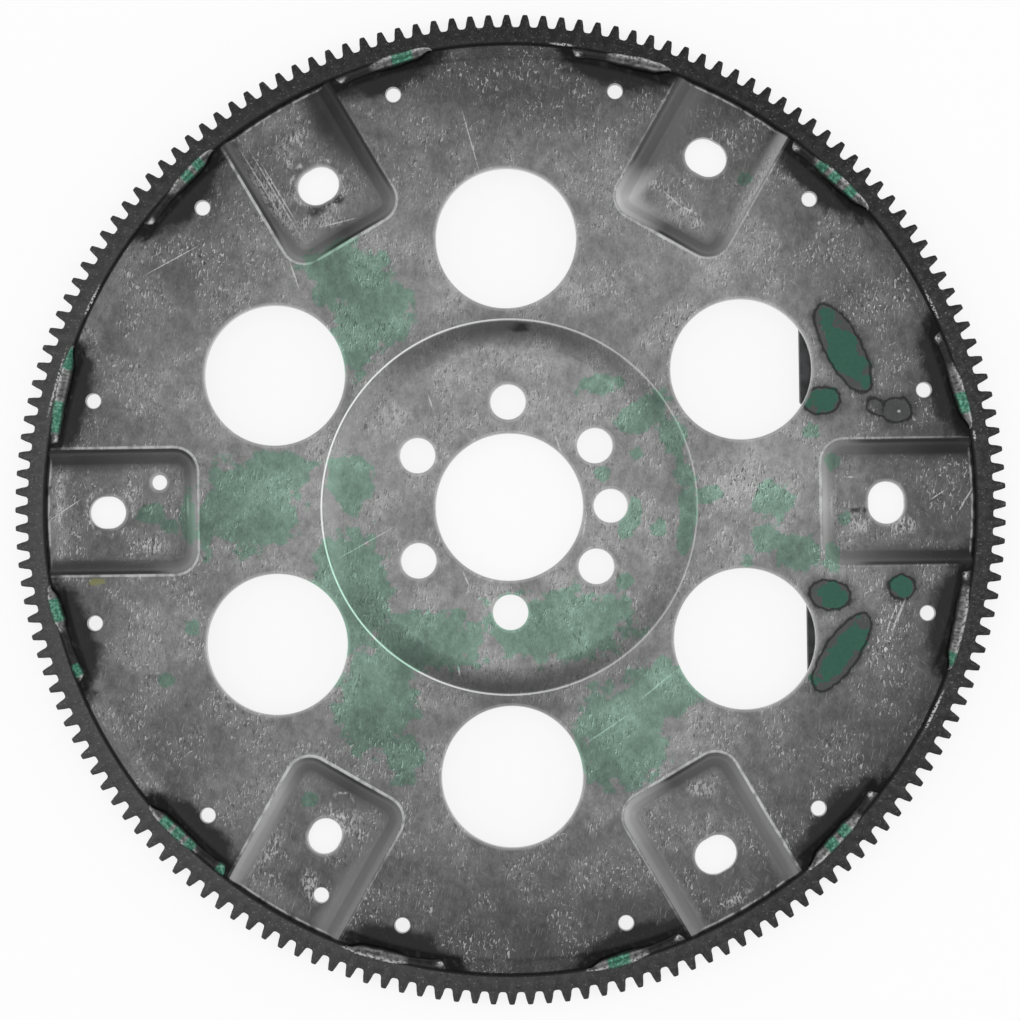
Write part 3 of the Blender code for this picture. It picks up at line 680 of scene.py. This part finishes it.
def make_rim_weld(number):
    """Bead over the seam between the lip and the gear, with the ripples of its passes and a crater."""
    start = RIM_WELD_START - RIM_WELD_RUN_IN
    span = RIM_WELD_SPAN + RIM_WELD_RUN_IN
    crown, slags = RIM_BEADS[number]
    crown = (crown * RIM_WELD_SPAN + RIM_WELD_RUN_IN) / span
    steps, around = 116, 12
    length = span * DISC_RADIUS
    lip_edge = Vector((DISC_RADIUS, WEB_HEIGHT - lip_drop(LIP_WIDTH)))
    up_lip = Vector((-math.cos(LIP_SLOPE), math.sin(LIP_SLOPE)))
    sections, marks = [], []
    for k in range(steps + 1):
        share = k / steps
        ends = math.sqrt(max(1 - (2 * share - 1) ** 16, 0.02))
        wander = noise.noise(Vector((number * 7.3, share * 6.0, 0.0)))
        size = min(rim_bead_size(share, crown) * (1 + 0.16 * wander) * ends, 1.0)
        side = noise.noise(Vector((number * 3.1, share * 5.0, 4.0))) * RIM_WELD_WANDER
        lean = between(BEAD_LEAN, share) * min(2.4 * size, 1)
        on_lip = max(RIM_WELD_ON_LIP * size + lean - 0.2 * MM, 0.1 * MM)
        lip_toe = lip_edge + up_lip * on_lip + Vector((side * 0.3, -0.1 * MM))
        on_gear = max(RIM_WELD_ON_GEAR * size + (side - lean) * 0.5, 0.1 * MM)
        gear_toe = Vector((GEAR_BORE_RADIUS + on_gear, GEAR_WIDTH - 0.1 * MM))
        across = gear_toe - lip_toe
        outward = Vector((-across.y, across.x)).normalized()
        crater = math.exp(-((share - RIM_WELD_CRATER) / 0.03) ** 2)
        dip = 0.5 * crater + 0.25 * math.exp(-((share - crown) / 0.03) ** 2)
        degrees = math.degrees(start + span * share)
        slag = max([min(max(min(degrees - a, b - degrees) / 0.2 + 0.5, 0), 1) for a, b in slags] + [0])
        tail = min(max((share - crown) / 0.06 + 0.5, 0), 1)
        section = []
        for i in range(around + 1):
            t = i / around
            arch = math.sin(math.pi * t)
            lag = RIPPLE_LAG * (1 - arch)
            ripple = RIPPLE_HEIGHT * math.cos(math.tau * (length * share + lag) / RIPPLE_SPACING)
            height = (RIM_WELD_CROWN * 0.86 * size * (1 - dip * arch) + ripple * size) * arch
            section.append(lip_toe + across * math.sin(math.pi * t / 2) ** 2 + outward * height)
            # Painted highlight along the crest and in the crater's pool; painted shade at the toes
            pool = crater * math.exp(-((t - 0.38) / 0.14) ** 2)
            crest = math.exp(-((t - 0.66) / 0.12) ** 2) * (1 - tail) + pool
            marks.append((1 - math.sin(math.pi * t ** 1.35), slag, crest, tail * (1 - pool)))
        section.append(Vector((GEAR_BORE_RADIUS - 0.1 * MM, GEAR_WIDTH - 0.9 * MM)))
        marks.append((1, 0, 0, 0))
        turn = Matrix.Rotation(start + span * share + math.tau * number / RIM_WELD_COUNT, 3, "Z")
        sections.append([turn @ Vector((p.x, 0, p.y)) for p in section])
    piece = loft(f"rim_weld_bead_{number + 1:02d}", sections)
    note_values(piece.data, dict(zip(BEAD_MARKS, zip(*marks))))
    return piece


def weight_outline(place):
    x, y, side = WEIGHT_PLACES[place]
    shape = ((0, 0), (WEIGHT_LENGTH, 0), (WEIGHT_LENGTH, WEIGHT_TIP),
             (WEIGHT_TOP, WEIGHT_HEIGHT), (0, WEIGHT_HEIGHT))
    return [Vector((x + a, y + b * side, 0)) for a, b in shape]


def make_weight(place):
    """Wedge cut from plate, against the web's rear face, with its cut corners rounded."""
    solid = bmesh.new()
    low = Vector((0, 0, WEB_REAR - 0.05 * MM - WEIGHT_THICKNESS))
    base = solid.faces.new([solid.verts.new(p + low) for p in weight_outline(place)])
    raised = bmesh.ops.extrude_face_region(solid, geom=[base], use_keep_orig=True)
    top = [item for item in raised["geom"] if isinstance(item, bmesh.types.BMVert)]
    bmesh.ops.translate(solid, verts=top, vec=(0, 0, WEIGHT_THICKNESS))
    bmesh.ops.recalc_face_normals(solid, faces=solid.faces)
    upright = [e for e in solid.edges if abs(e.verts[0].co.z - e.verts[1].co.z) > WEIGHT_THICKNESS / 2]
    bmesh.ops.bevel(solid, geom=upright, offset=WEIGHT_CORNER, segments=6, profile=0.5, affect="EDGES")
    level = [e for e in solid.edges if abs(e.verts[0].co.z - e.verts[1].co.z) < 0.01 * MM
             and e.calc_face_angle(0) > 1.0]
    bmesh.ops.bevel(solid, geom=level, offset=WEIGHT_EDGE, segments=2, profile=0.5, affect="EDGES")
    return finished(bpy.data.meshes.new(f"balance_weight_{place}_cut"), solid)


def make_weight_weld(number, place, corner, from_share, to_share):
    """Short fillet weld along one edge of a weight, on the web's rear face."""
    outline = weight_outline(place)
    centre = sum(outline, Vector()) / len(outline)
    a, b = outline[corner], outline[(corner + 1) % len(outline)]
    away = Vector((b.y - a.y, a.x - b.x, 0)).normalized()
    if away.dot(a - centre) < 0:
        away.negate()
    down = Vector((0, 0, -1))
    start, end = a.lerp(b, from_share), a.lerp(b, to_share)
    steps, around = 40, 8
    sections, marks = [], []
    for k in range(steps + 1):
        share = k / steps
        ends = math.sqrt(max(1 - (2 * share - 1) ** 10, 0.05))
        leg = WEIGHT_WELD_LEG * between(WEIGHT_WELD_SIZES, share) * ends
        root = start.lerp(end, share) + Vector((0, 0, WEB_REAR)) - (away + down) * 0.1 * MM
        section = [root]
        marks.append((1, 0, 0, 0))
        ripple = 1 + 0.03 * math.cos(math.tau * share * (end - start).length / RIPPLE_SPACING)
        for i in range(around + 1):
            turn = math.pi / 2 * i / around
            bulge = (0.88 + 0.12 * math.sin(2 * turn)) * ripple if 0 < i < around else 1
            section.append(root + (away * math.cos(turn) + down * math.sin(turn)) * leg * bulge)
            # Painted shade at the toes and a painted highlight on the middle of the bead
            marks.append((1 - math.sin(2 * turn), 0, 0.5 * math.sin(2 * turn) ** 4, 0))
        sections.append(section)
    piece = loft(f"weight_weld_bead_{number}", sections)
    note_values(piece.data, dict(zip(BEAD_MARKS, zip(*marks))))
    return piece


def linear(colour):
    """sRGB hex colour as linear RGBA."""
    parts = [int(colour[i:i + 2], 16) / 255 for i in (1, 3, 5)]
    return (*[c / 12.92 if c <= 0.04045 else ((c + 0.055) / 1.055) ** 2.4 for c in parts], 1.0)


def new_material(name):
    material = bpy.data.materials.new(name)
    material.use_nodes = True
    tree = material.node_tree
    return material, tree, tree.nodes["Principled BSDF"]


def scratch_distance(tree, flat, marks):
    """Distance from the nearest scratch's middle, as a share of its half sizes: 1 on its outline.

    The place comes as (x, y, 1), so that one dot product shifts, turns and scales it."""
    closest = None
    for x, y, half_x, half_y, degrees in marks:
        turn = math.radians(degrees)
        squares = 0.0
        for half, across, up in ((half_x, math.cos(turn), math.sin(turn)),
                                 (half_y, -math.sin(turn), math.cos(turn))):
            row = (across / (half * MM), up / (half * MM), -(x * across + y * up) / half)
            share = add(tree, "ShaderNodeVectorMath", {0: flat, 1: row}, operation="DOT_PRODUCT")
            share = share.outputs["Value"]
            squares = add(tree, "ShaderNodeMath", {0: share, 1: share, 2: squares},
                          operation="MULTIPLY_ADD")
        closest = squares if closest is None else add(
            tree, "ShaderNodeMath", {0: closest, 1: squares}, operation="MINIMUM")
    return add(tree, "ShaderNodeMath", {0: closest}, operation="SQRT").outputs[0]


def combined(tree, *factors):
    """Product of several factors. One that comes as (value, none, full) is 0 where its value is none, 1
    where it reaches full, and smooth between. As (value, none, full, low, high) it runs straight."""
    result = None
    for factor in factors:
        if isinstance(factor, tuple):
            names = ("Value", "From Min", "From Max", "To Min", "To Max")
            factor = add(tree, "ShaderNodeMapRange", dict(zip(names, factor)),
                         interpolation_type="SMOOTHSTEP" if len(factor) == 3 else "LINEAR").outputs[0]
        result = factor if result is None else add(
            tree, "ShaderNodeMath", {0: result, 1: factor}, operation="MULTIPLY").outputs[0]
    return result


def layered(tree, base, *layers):
    """Lays finishes over a base colour, each as its strength, its colour and the factors of its share."""
    for strength, colour, *factors in layers:
        colour = linear(colour) if isinstance(colour, str) else colour
        base = add(tree, "ShaderNodeMix", {0: combined(tree, *factors, strength), 6: base, 7: colour},
                   data_type="RGBA").outputs[2]
    return base


def grain(tree, place, width, length, degrees, **settings):
    """Noise whose spots are so many millimetres wide and long, their length turned from Y."""
    laid = add(tree, "ShaderNodeMapping", {"Vector": place, "Rotation": (0, 0, math.radians(degrees)),
                                           "Scale": (width * MM, length * MM, width * MM)},
               vector_type="TEXTURE")
    return add(tree, "ShaderNodeTexNoise", {"Vector": laid, "Scale": 1.0, **settings}).outputs["Fac"]


def places(tree):
    """A point's place on the piece, its (x, y, 1), its x, its y and its distance from the axis."""
    place = add(tree, "ShaderNodeTexCoord").outputs["Object"]
    flat = add(tree, "ShaderNodeVectorMath", {0: place, 1: (1, 1, 0), 2: (0, 0, 1)},
               operation="MULTIPLY_ADD").outputs[0]
    x, y, _ = add(tree, "ShaderNodeSeparateXYZ", {0: flat}).outputs
    centred = add(tree, "ShaderNodeCombineXYZ", {"X": x, "Y": y})
    radius = add(tree, "ShaderNodeVectorMath", {0: centred}, operation="LENGTH").outputs["Value"]
    return place, flat, x, y, radius


def sheet_steel():
    """Cold-rolled sheet under a thin film of oil: satin grey with a mottled spangle, burnt round the welds,
    with painted highlights at its bends and hole edges and painted shade on its walls, round the hub, in
    the seam and under the beads."""
    material, tree, shader = new_material("oiled cold-rolled sheet steel")
    place, flat, x, y, radius = places(tree)
    angle = add(tree, "ShaderNodeMath", {0: y, 1: x}, operation="ARCTAN2").outputs[0]
    names = ["front", "pad_depth", "wall_shade_tone", "bend_highlight", "shade_spread", "hole_gap", "clouds", "blotches", "burn",
             *FIELDS]
    carried = {name: add(tree, "ShaderNodeAttribute", attribute_name=name).outputs["Fac"] for name in names}
    front, pad_depth, wall_shade_tone, bend_highlight, shade_spread, hole_gap, clouds, blotches = [
        carried[name] for name in names[:8]]

    # Mottle of 3 mm, spangle of 1 mm, and pick marks and fine scratches along the rolling direction,
    # made about twice as coarse as real so that they show. The pick marks' noise shifted sideways gives a
    # painted shade beside each pick
    mottle = grain(tree, place, 2.6, 3.6, 0, Detail=3.0)
    spangle = grain(tree, place, 0.9, 1.2, 0, Detail=2.0)
    picks = grain(tree, place, 0.8, 1.8, 0, Detail=1.0, Distortion=0.9)
    pick_shade = add(tree, "ShaderNodeVectorMath", {0: place, 1: (0.3 * MM, -0.3 * MM, 0)}).outputs[0]
    pick_shade = grain(tree, pick_shade, 0.8, 1.8, 0, Detail=1.0, Distortion=0.9)
    fine = grain(tree, place, 0.35, 6.0, -14, Detail=1.0)
    cross = grain(tree, place, 0.35, 5.0, 52, Detail=1.0)
    ragged = add(tree, "ShaderNodeTexNoise", {"Vector": place, "Scale": 1 / (6 * MM), "Detail": 3.0,
                                              "Roughness": 0.65}).outputs["Fac"]
    changes = [(clouds, 0.28, 0.72, 0.88, 1.12), (blotches, 0.28, 0.72, 0.84, 1.16),
               (mottle, 0.28, 0.72, 0.80, 1.20), (spangle, 0.28, 0.72, 0.81, 1.20)]
    # Painted shade and painted light in soft areas
    for area, gain in (("painted_shade_area", 0.74), ("painted_light_area", 1.22)):
        changes.append((combined(tree, (carried[area], 1.25, 0.35), front), 0, 1, 1.0, gain))
    # Painted light on the lip's left side
    lip_left_light = combined(tree, (radius, 0.158, 0.165), (x, 0.02, -0.15))
    changes.append((lip_left_light, 0, 1, 1.0, 1.90))
    # Base grey with painted shade: it darkens from 85 mm out to 150 mm, and further over the lip
    grey = combined(tree, (radius, 0.085, 0.150, 0.268, 0.141), (radius, 0.150, 0.168, 1.0, 0.68), *changes)

    # Green film: soft patches whose outlines the ragged noise breaks up
    film = add(tree, "ShaderNodeMath", {0: ragged, 1: 1.9, 2: carried["film"]},
               operation="MULTIPLY_ADD").outputs[0]
    film = combined(tree, (film, 2.02, 1.90))

    # Burnt zones round the twelve rim welds, in polar steps of 30 degrees
    pitch = math.tau / RIM_WELD_COUNT
    middle = RIM_WELD_START + RIM_WELD_SPAN / 2
    off = add(tree, "ShaderNodeMath", {0: angle, 1: middle - pitch / 2}, operation="SUBTRACT")
    wrapped = add(tree, "ShaderNodeMath", {0: off, 1: pitch, 2: 0.0}, operation="WRAP")
    along = add(tree, "ShaderNodeMath", {0: wrapped, 1: pitch / 2}, operation="SUBTRACT")
    along = add(tree, "ShaderNodeMath", {0: along, 1: DISC_RADIUS / (23 * MM)}, operation="MULTIPLY")
    inward = add(tree, "ShaderNodeMath", {0: DISC_RADIUS, 1: radius}, operation="SUBTRACT")
    inward = add(tree, "ShaderNodeMath", {0: inward, 1: 1 / (12 * MM)}, operation="MULTIPLY")
    burnt_at = add(tree, "ShaderNodeCombineXYZ", {"X": along, "Y": inward})
    burnt_at = add(tree, "ShaderNodeVectorMath", {0: burnt_at}, operation="LENGTH").outputs["Value"]
    soot = add(tree, "ShaderNodeMath", {0: ragged, 1: 0.7, 2: burnt_at}, operation="MULTIPLY_ADD").outputs[0]
    burnt = combined(tree, (soot, 1.60, 1.20))

    # Temper marks: a dark outline, with a dark halo, round a field that is part grey, part green
    wavy = add(tree, "ShaderNodeMath", {0: mottle, 1: 2.2 * MM, 2: carried["burn"]},
               operation="MULTIPLY_ADD").outputs[0]
    heat = combined(tree, (wavy, 1.4 * MM, 0.8 * MM), (carried["scorch"], 1.35, 1.2))
    outline = combined(tree, (wavy, 0.4 * MM, 0.9 * MM), (wavy, 1.9 * MM, 1.3 * MM))
    halo = combined(tree, (wavy, 5.0 * MM, 1.3 * MM))
    green_heat = add(tree, "ShaderNodeMath", {0: ragged, 1: 1.9, 2: carried["temper"]},
                     operation="MULTIPLY_ADD").outputs[0]
    green_heat = combined(tree, (green_heat, 1.82, 1.72))

    # Painted light on the pad walls: a painted highlight along the upper bend, then a band of painted shade,
    # lighter in part where the die burnished it, that fades into the floor
    bend_at = add(tree, "ShaderNodeMath", {0: pad_depth, 1: 0.1 * MM}, operation="SUBTRACT").outputs[0]
    bend_at = add(tree, "ShaderNodeMath", {0: bend_at}, operation="ABSOLUTE").outputs[0]
    width = combined(tree, (bend_highlight, 0, 1, 0.22 * MM, 0.78 * MM))
    bend_at = add(tree, "ShaderNodeMath", {0: bend_at, 1: width}, operation="DIVIDE").outputs[0]
    bend = combined(tree, (bend_at, 1.0, 0.45), bend_highlight)
    reach = combined(tree, shade_spread, MM)
    fade = add(tree, "ShaderNodeMath", {0: pad_depth, 1: reach}, operation="DIVIDE").outputs[0]
    steep = combined(tree, (pad_depth, 0.2 * MM, 1.2 * MM), (pad_depth, 8.6 * MM, 7.2 * MM))
    wall = combined(tree, (pad_depth, 0.4 * MM, 1.0 * MM), (fade, 1.15, 0.55))
    # Painted shade in the crease just below the upper bend, where the wall's tone is dark
    crease_shade = combined(tree, (pad_depth, 0.4 * MM, 0.9 * MM), (pad_depth, 2.4 * MM, 1.3 * MM),
                      (wall_shade_tone, 0.26, 0.12))
    # Painted light round the hub: a painted highlight on its outline, strongest on the left; painted shade
    # just outside it and on its wall, darkest at top and bottom; and painted light on its wall towards 168
    # degrees
    left = add(tree, "ShaderNodeMath", {0: angle, 1: 1.0}, operation="COSINE").outputs[0]
    left = combined(tree, (left, 0.6, -0.9, 0.30, 1.0))
    hub_run = add(tree, "ShaderNodeMath", {0: HUB_RADIUS, 1: radius}, operation="SUBTRACT").outputs[0]
    hub_highlight = combined(tree, (hub_run, -0.10 * MM, 0.10 * MM), (hub_run, 0.75 * MM, 0.40 * MM), left)
    twice = add(tree, "ShaderNodeMath", {0: angle, 1: 2.0}, operation="MULTIPLY").outputs[0]
    twice = add(tree, "ShaderNodeMath", {0: twice}, operation="COSINE").outputs[0]
    hub_shade_by_angle = combined(tree, (twice, 1, -1, 0, 1))
    hub_ring_shade = combined(tree, (hub_run, -10 * MM, -1 * MM), (hub_run, 1.5 * MM, 0.5 * MM), hub_shade_by_angle)
    towards = add(tree, "ShaderNodeMath", {0: angle, 1: math.radians(168)}, operation="SUBTRACT")
    towards = add(tree, "ShaderNodeMath", {0: towards}, operation="COSINE").outputs[0]
    hub_wall_light = combined(tree, (hub_run, 0.6 * MM, 1.4 * MM), (hub_run, 8 * MM, 4 * MM),
                        (towards, 0.70, 0.95))
    hub_wall_shade = combined(tree, (hub_run, 0.5 * MM, 1.2 * MM), (hub_run, 12 * MM, 3 * MM), hub_shade_by_angle)
    # Painted highlight along the rim on the pad floors
    rim_highlight = combined(tree, (radius, DISC_RADIUS - 1.6 * MM, DISC_RADIUS - 1.2 * MM),
                        (pad_depth, 3 * MM, 6 * MM), (mottle, 0.35, 0.6))

    printed = combined(tree, (carried["print"], 1.16, 1.02), (carried["print"], 0.84, 0.98))
    flecks = combined(tree, (picks, 0.42, 0.60))
    scuffed = combined(tree, (carried["scuff"], 1.35, 0.5))
    scratched = combined(tree, (scratch_distance(tree, flat, SCRATCHES), 1.3, 0.6))
    smeared = combined(tree, (carried["smear"], 1.3, 0.6))
    yellow = combined(tree, (carried["yellow"], 1.2, 0.8))
    # Colour of the pad walls' painted shade
    wall_shade_colour = combined(tree, (wall_shade_tone, 0, 1, 0.034, 0.68))
    metal = combined(tree, (steep, 0, 1, 0.75, 0.12))
    worn_area = combined(tree, (carried["worn_area"], 1.3, 0.4))
    # Breaks up the painted highlight along the bends
    highlight_patchiness = combined(tree, (combined(tree, (mottle, 0.25, 0.6)), 0, 1, 0.30, 1.0))
    busy = combined(tree, (combined(tree, (blotches, 0.38, 0.62)), 0, 1, 0.12, 1.0))
    busy = add(tree, "ShaderNodeMath", {0: worn_area, 1: 0.6, 2: busy}, operation="MULTIPLY_ADD").outputs[0]
    broken = combined(tree, (mottle, 0.40, 0.62))

    base = layered(
        tree, grey,
        # Pick marks, with painted shade beside each bright one
        (0.50, "#303030", (pick_shade, 0.60, 0.70), busy),
        (0.46, "#dcdcdc", (picks, 0.60, 0.70), busy),
        (0.50, "#303030", (picks, 0.39, 0.31), busy),
        (0.25, "#cccccc", (fine, 0.66, 0.76)),
        (0.20, "#cccccc", (cross, 0.68, 0.78)),
        # Painted shade round the hub and on its wall, and painted light on its wall's left
        (0.42, "#4a4a4a", hub_ring_shade, front),
        (0.85, "#464646", hub_wall_shade, front),
        (0.32, "#b8b8b8", hub_wall_light, front),
        (0.95, "#282828", burnt),
        # Painted shadow under the rim beads, inside the burnt zone
        (0.75, "#0e0e0e", burnt, (radius, DISC_RADIUS - 6.4 * MM, DISC_RADIUS - 4.8 * MM),
         (mottle, 0.30, 0.48)),
        (0.50, "#343434", halo, front),
        (0.75, "#494b4a", heat, front),
        (0.75, "#2c604f", green_heat, front),
        (0.75, "#202020", outline, front),
        # Painted shade on the pad walls and in their creases
        (0.92, wall_shade_colour, wall, front),
        (0.65, "#121212", crease_shade, front),
        (0.80, "#202020", smeared, front),
        # Scuffs: painted shade beside their bright flecks, then the flecks
        (0.38, "#2a2a2a", scuffed, (pick_shade, 0.44, 0.60), front),
        (0.46, "#d8d8d8", scuffed, flecks, front),
        (0.60, "#cccccc", printed, flecks, broken, front),
        (0.45, "#8a8a3a", yellow, front),
        (0.62, "#d4d4d4", scratched, (spangle, 0.25, 0.55), front),
        # Painted highlight along the rim on the pad floors
        (0.60, "#c8c8c8", rim_highlight, front),
        # Painted light round the holes: a soft painted halo near the inner holes and a painted highlight
        # along every hole's edge
        (0.30, "#d8d8d8", (hole_gap, 1.5 * MM, 0.3 * MM), (radius, 0.153, 0.140)),
        (0.60, "#e6e6e6", (hole_gap, 0.40 * MM, 0.15 * MM)),
        # Painted highlight along the pads' upper bends
        (0.85, "#cccecd", bend, highlight_patchiness, (burnt, 0, 1, 1.0, 0.15), front),
        # Painted highlight on the hub's outline
        (0.95, "#f0f2f1", hub_highlight, front),
        # Painted shade in the seam at the disc's edge
        (0.9, "#161616", (radius, DISC_RADIUS - 0.9 * MM, DISC_RADIUS - 0.5 * MM)))
    film = combined(tree, film, front, 0.85)
    base = add(tree, "ShaderNodeMix", {0: film, 6: base, 7: linear("#cdffe6")}, data_type="RGBA",
               blend_type="MULTIPLY").outputs[2]

    rough = combined(tree, (spangle, 0.3, 0.7, 0.42, 0.55))
    bump = add(tree, "ShaderNodeBump", {"Strength": 0.5, "Distance": 0.06 * MM, "Height": spangle})
    feed(tree, shader, {"Base Color": base, "Roughness": rough, "Normal": bump, "Metallic": metal,
                        "Specular IOR Level": 0.2})
    return material


def gear_steel():
    """Induction-hardened gear steel, quenched black: dark and dull, specked, with painted highlights along
    its bore, painted light on its left, and painted shade at its top and in the seam by its bore.
    """
    material, tree, shader = new_material("induction-hardened gear steel")
    place, flat, _, y, radius = places(tree)
    mottle = grain(tree, place, 2.4, 2.4, 0, Detail=3.0)
    specks = grain(tree, place, 0.8, 0.8, 0, Detail=1.0)
    base = add(tree, "ShaderNodeMix", {0: combined(tree, (mottle, 0.3, 0.75)), 6: linear("#2c2c2c"),
                                       7: linear("#414141")}, data_type="RGBA").outputs[2]
    # How far a point lies to the left, for the painted light on that side
    left = add(tree, "ShaderNodeVectorMath", {0: flat, 1: (-1, -0.4, 0)}, operation="DOT_PRODUCT")
    left = combined(tree, (left.outputs["Value"], -0.12, 0.20, 0, 0.34))
    edge_glints = combined(tree, (scratch_distance(tree, flat, GEAR_GLINTS), 1.5, 0.5))
    base = layered(
        tree, base,
        # Painted light on the left side, painted shade at the top
        (1.0, "#6a6a6a", left),
        (0.35, "#161616", (y, 0.04, 0.17)),
        (0.35, "#a0a0a0", (specks, 0.64, 0.74)),
        (0.50, "#161616", (specks, 0.34, 0.26)),
        # Painted shade in the seam next to the bore, then painted highlights along the inner edge
        (0.88, "#121212", (radius, GEAR_BORE_RADIUS + 1.1 * MM, GEAR_BORE_RADIUS + 0.6 * MM)),
        (0.80, "#d6d6d6", edge_glints, (specks, 0.40, 0.58)))
    bump = add(tree, "ShaderNodeBump", {"Strength": 0.3, "Distance": 0.05 * MM, "Height": mottle})
    feed(tree, shader, {"Base Color": base, "Normal": bump, "Metallic": 0.7, "Roughness": 0.5})
    return material


def weld_metal():
    """Solid-wire weld bead: grey ripples and green glassy slag, with painted highlights on its crests and
    craters and painted shade at its toes.
    """
    material, tree, shader = new_material("solid-wire weld bead")
    place = add(tree, "ShaderNodeTexCoord").outputs["Object"]
    toe_shade, slag, glint, tail = [add(tree, "ShaderNodeAttribute", attribute_name=name).outputs["Fac"]
                              for name in BEAD_MARKS]
    lumps = grain(tree, place, 2.2, 2.2, 0, Detail=2.0)
    sparks = grain(tree, place, 1.1, 1.1, 0, Detail=1.0)
    base = add(tree, "ShaderNodeMix", {0: combined(tree, (lumps, 0.3, 0.7)), 6: linear("#484848"),
                                       7: linear("#808080")}, data_type="RGBA").outputs[2]
    green = add(tree, "ShaderNodeMix", {0: combined(tree, (sparks, 0.40, 0.75)), 6: linear("#33735c"),
                                        7: linear("#67a78e")}, data_type="RGBA").outputs[2]
    base = layered(
        tree, base,
        (0.90, "#202020", tail),
        # Painted highlight on the crests
        (0.90, "#dedede", glint, (sparks, 0.32, 0.58)),
        (0.85, green, slag),
        # Painted shade at the toes
        (0.92, "#1c1c1c", (toe_shade, 0.42, 0.80)))
    bump = add(tree, "ShaderNodeBump", {"Strength": 0.4, "Distance": 0.1 * MM, "Height": lumps})
    feed(tree, shader, {"Base Color": base, "Normal": bump, "Metallic": 0.8, "Roughness": 0.38})
    return material


def weight_steel():
    """Hot-rolled plate with its mill scale left on: blue-black, dull and blotchy."""
    material, tree, shader = new_material("hot-rolled plate steel")
    place = add(tree, "ShaderNodeTexCoord").outputs["Object"]
    mottle = grain(tree, place, 5.0, 5.0, 0, Detail=4.0)
    colour = add(tree, "ShaderNodeMix", {0: combined(tree, (mottle, 0.35, 0.7)), 6: linear("#2b2c2d"),
                                         7: linear("#444546")}, data_type="RGBA").outputs[2]
    feed(tree, shader, {"Base Color": colour, "Metallic": 0.6, "Roughness": 0.55})
    return material


def finish_piece(piece, material, slot, *nodes):
    piece.data.materials.clear()
    piece.data.materials.append(material)
    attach(piece, "root")
    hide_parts(*nodes)


sheet = sheet_steel()
gear = gear_steel()
bead = weld_metal()
plate = weight_steel()

finish_piece(make_disc(), sheet, "sheet_steel", "flexplate_disc")
finish_piece(make_ring_gear(gear), gear, "gear_steel", "ring_gear")
for count in range(RIM_WELD_COUNT):
    finish_piece(make_rim_weld(count), bead, "weld_metal", f"rim_weld_{count + 1:02d}")
weld_number = 0
for place_name in WEIGHT_PLACES:
    finish_piece(make_weight(place_name), plate, "weight_steel", f"balance_weight_{place_name}")
    for corner_index, share_a, share_b in WEIGHT_WELDS:
        weld_number += 1
        finish_piece(make_weight_weld(weld_number, place_name, corner_index, share_a, share_b),
                     bead, "weld_metal", f"weight_weld_{weld_number}")


def make_floor():
    """Pale floor that reads white to the camera and keeps a faint shadow."""
    mesh = bpy.data.meshes.new("floor")
    mesh.from_pydata([(-4, -4, 0), (4, -4, 0), (4, 4, 0), (-4, 4, 0)], [], [(0, 1, 2, 3)])
    floor = placed(mesh)
    material, tree, shader = new_material("pale studio floor")
    feed(tree, shader, {"Base Color": linear("#f4f4f4"), "Roughness": 0.9})
    rays = add(tree, "ShaderNodeLightPath")
    seen = add(tree, "ShaderNodeMath", {0: rays.outputs["Is Camera Ray"], 1: rays.outputs["Is Glossy Ray"]},
               operation="MAXIMUM")
    seen = add(tree, "ShaderNodeMath", {0: seen, 1: rays.outputs["Is Transmission Ray"]},
               operation="MAXIMUM")
    share = add(tree, "ShaderNodeMath", {0: seen, 1: 0.82}, operation="MULTIPLY")
    white = add(tree, "ShaderNodeEmission", {"Color": (1, 1, 1, 1), "Strength": 1.03})
    both = add(tree, "ShaderNodeMixShader", {0: share, 1: shader, 2: white})
    tree.links.new(both.outputs[0], tree.nodes["Material Output"].inputs["Surface"])
    mesh.materials.append(material)


def make_world():
    """Pale studio walls up to 25 degrees above the horizon, under a dimmer ceiling."""
    world = bpy.data.worlds.new("pale studio")
    bpy.context.scene.world = world
    world.use_nodes = True
    tree = world.node_tree
    towards = add(tree, "ShaderNodeTexCoord").outputs["Generated"]
    height = add(tree, "ShaderNodeSeparateXYZ", {0: towards}).outputs["Z"]
    strength = combined(tree, (height, 0.42, 0.62, 1.0, CEILING))
    feed(tree, tree.nodes["Background"], {"Color": (1, 1, 1, 1), "Strength": strength})


def make_light(name, place, size, radiance):
    """Soft rectangular light aimed at the disc. Its radiance is what a mirror would show of it."""
    data = bpy.data.lights.new(name, "AREA")
    data.shape = "RECTANGLE"
    data.size, data.size_y = size
    data.energy = radiance * math.pi * size[0] * size[1]
    light = placed(data)
    light.location = place
    light.rotation_euler = (-Vector(place)).to_track_quat("-Z", "Y").to_euler()


def make_camera():
    """Camera at the photograph's place: almost square above the disc, 1.15 m up."""
    data = bpy.data.cameras.new("photograph view")
    data.lens = 111.743
    data.sensor_width = 36.0
    data.clip_start = 0.05
    data.clip_end = 20.0
    camera = placed(data)
    camera.location = (18.914 * MM, -41.123 * MM, 1154.813 * MM)
    camera.rotation_euler = [math.radians(a) for a in (1.991, 0.959, -0.708)]
    bpy.context.scene.camera = camera


make_floor()
make_world()
make_light("overhead softbox", (0, 0, 1.9), (1.6, 1.6), 1.1)
make_light("right strip", (1.05, 0, 1.2), (0.4, 1.3), 1.8)
make_light("left strip", (-1.05, 0, 1.2), (0.4, 1.3), 1.4)
make_camera()
bpy.context.scene.view_settings.view_transform = "Standard"
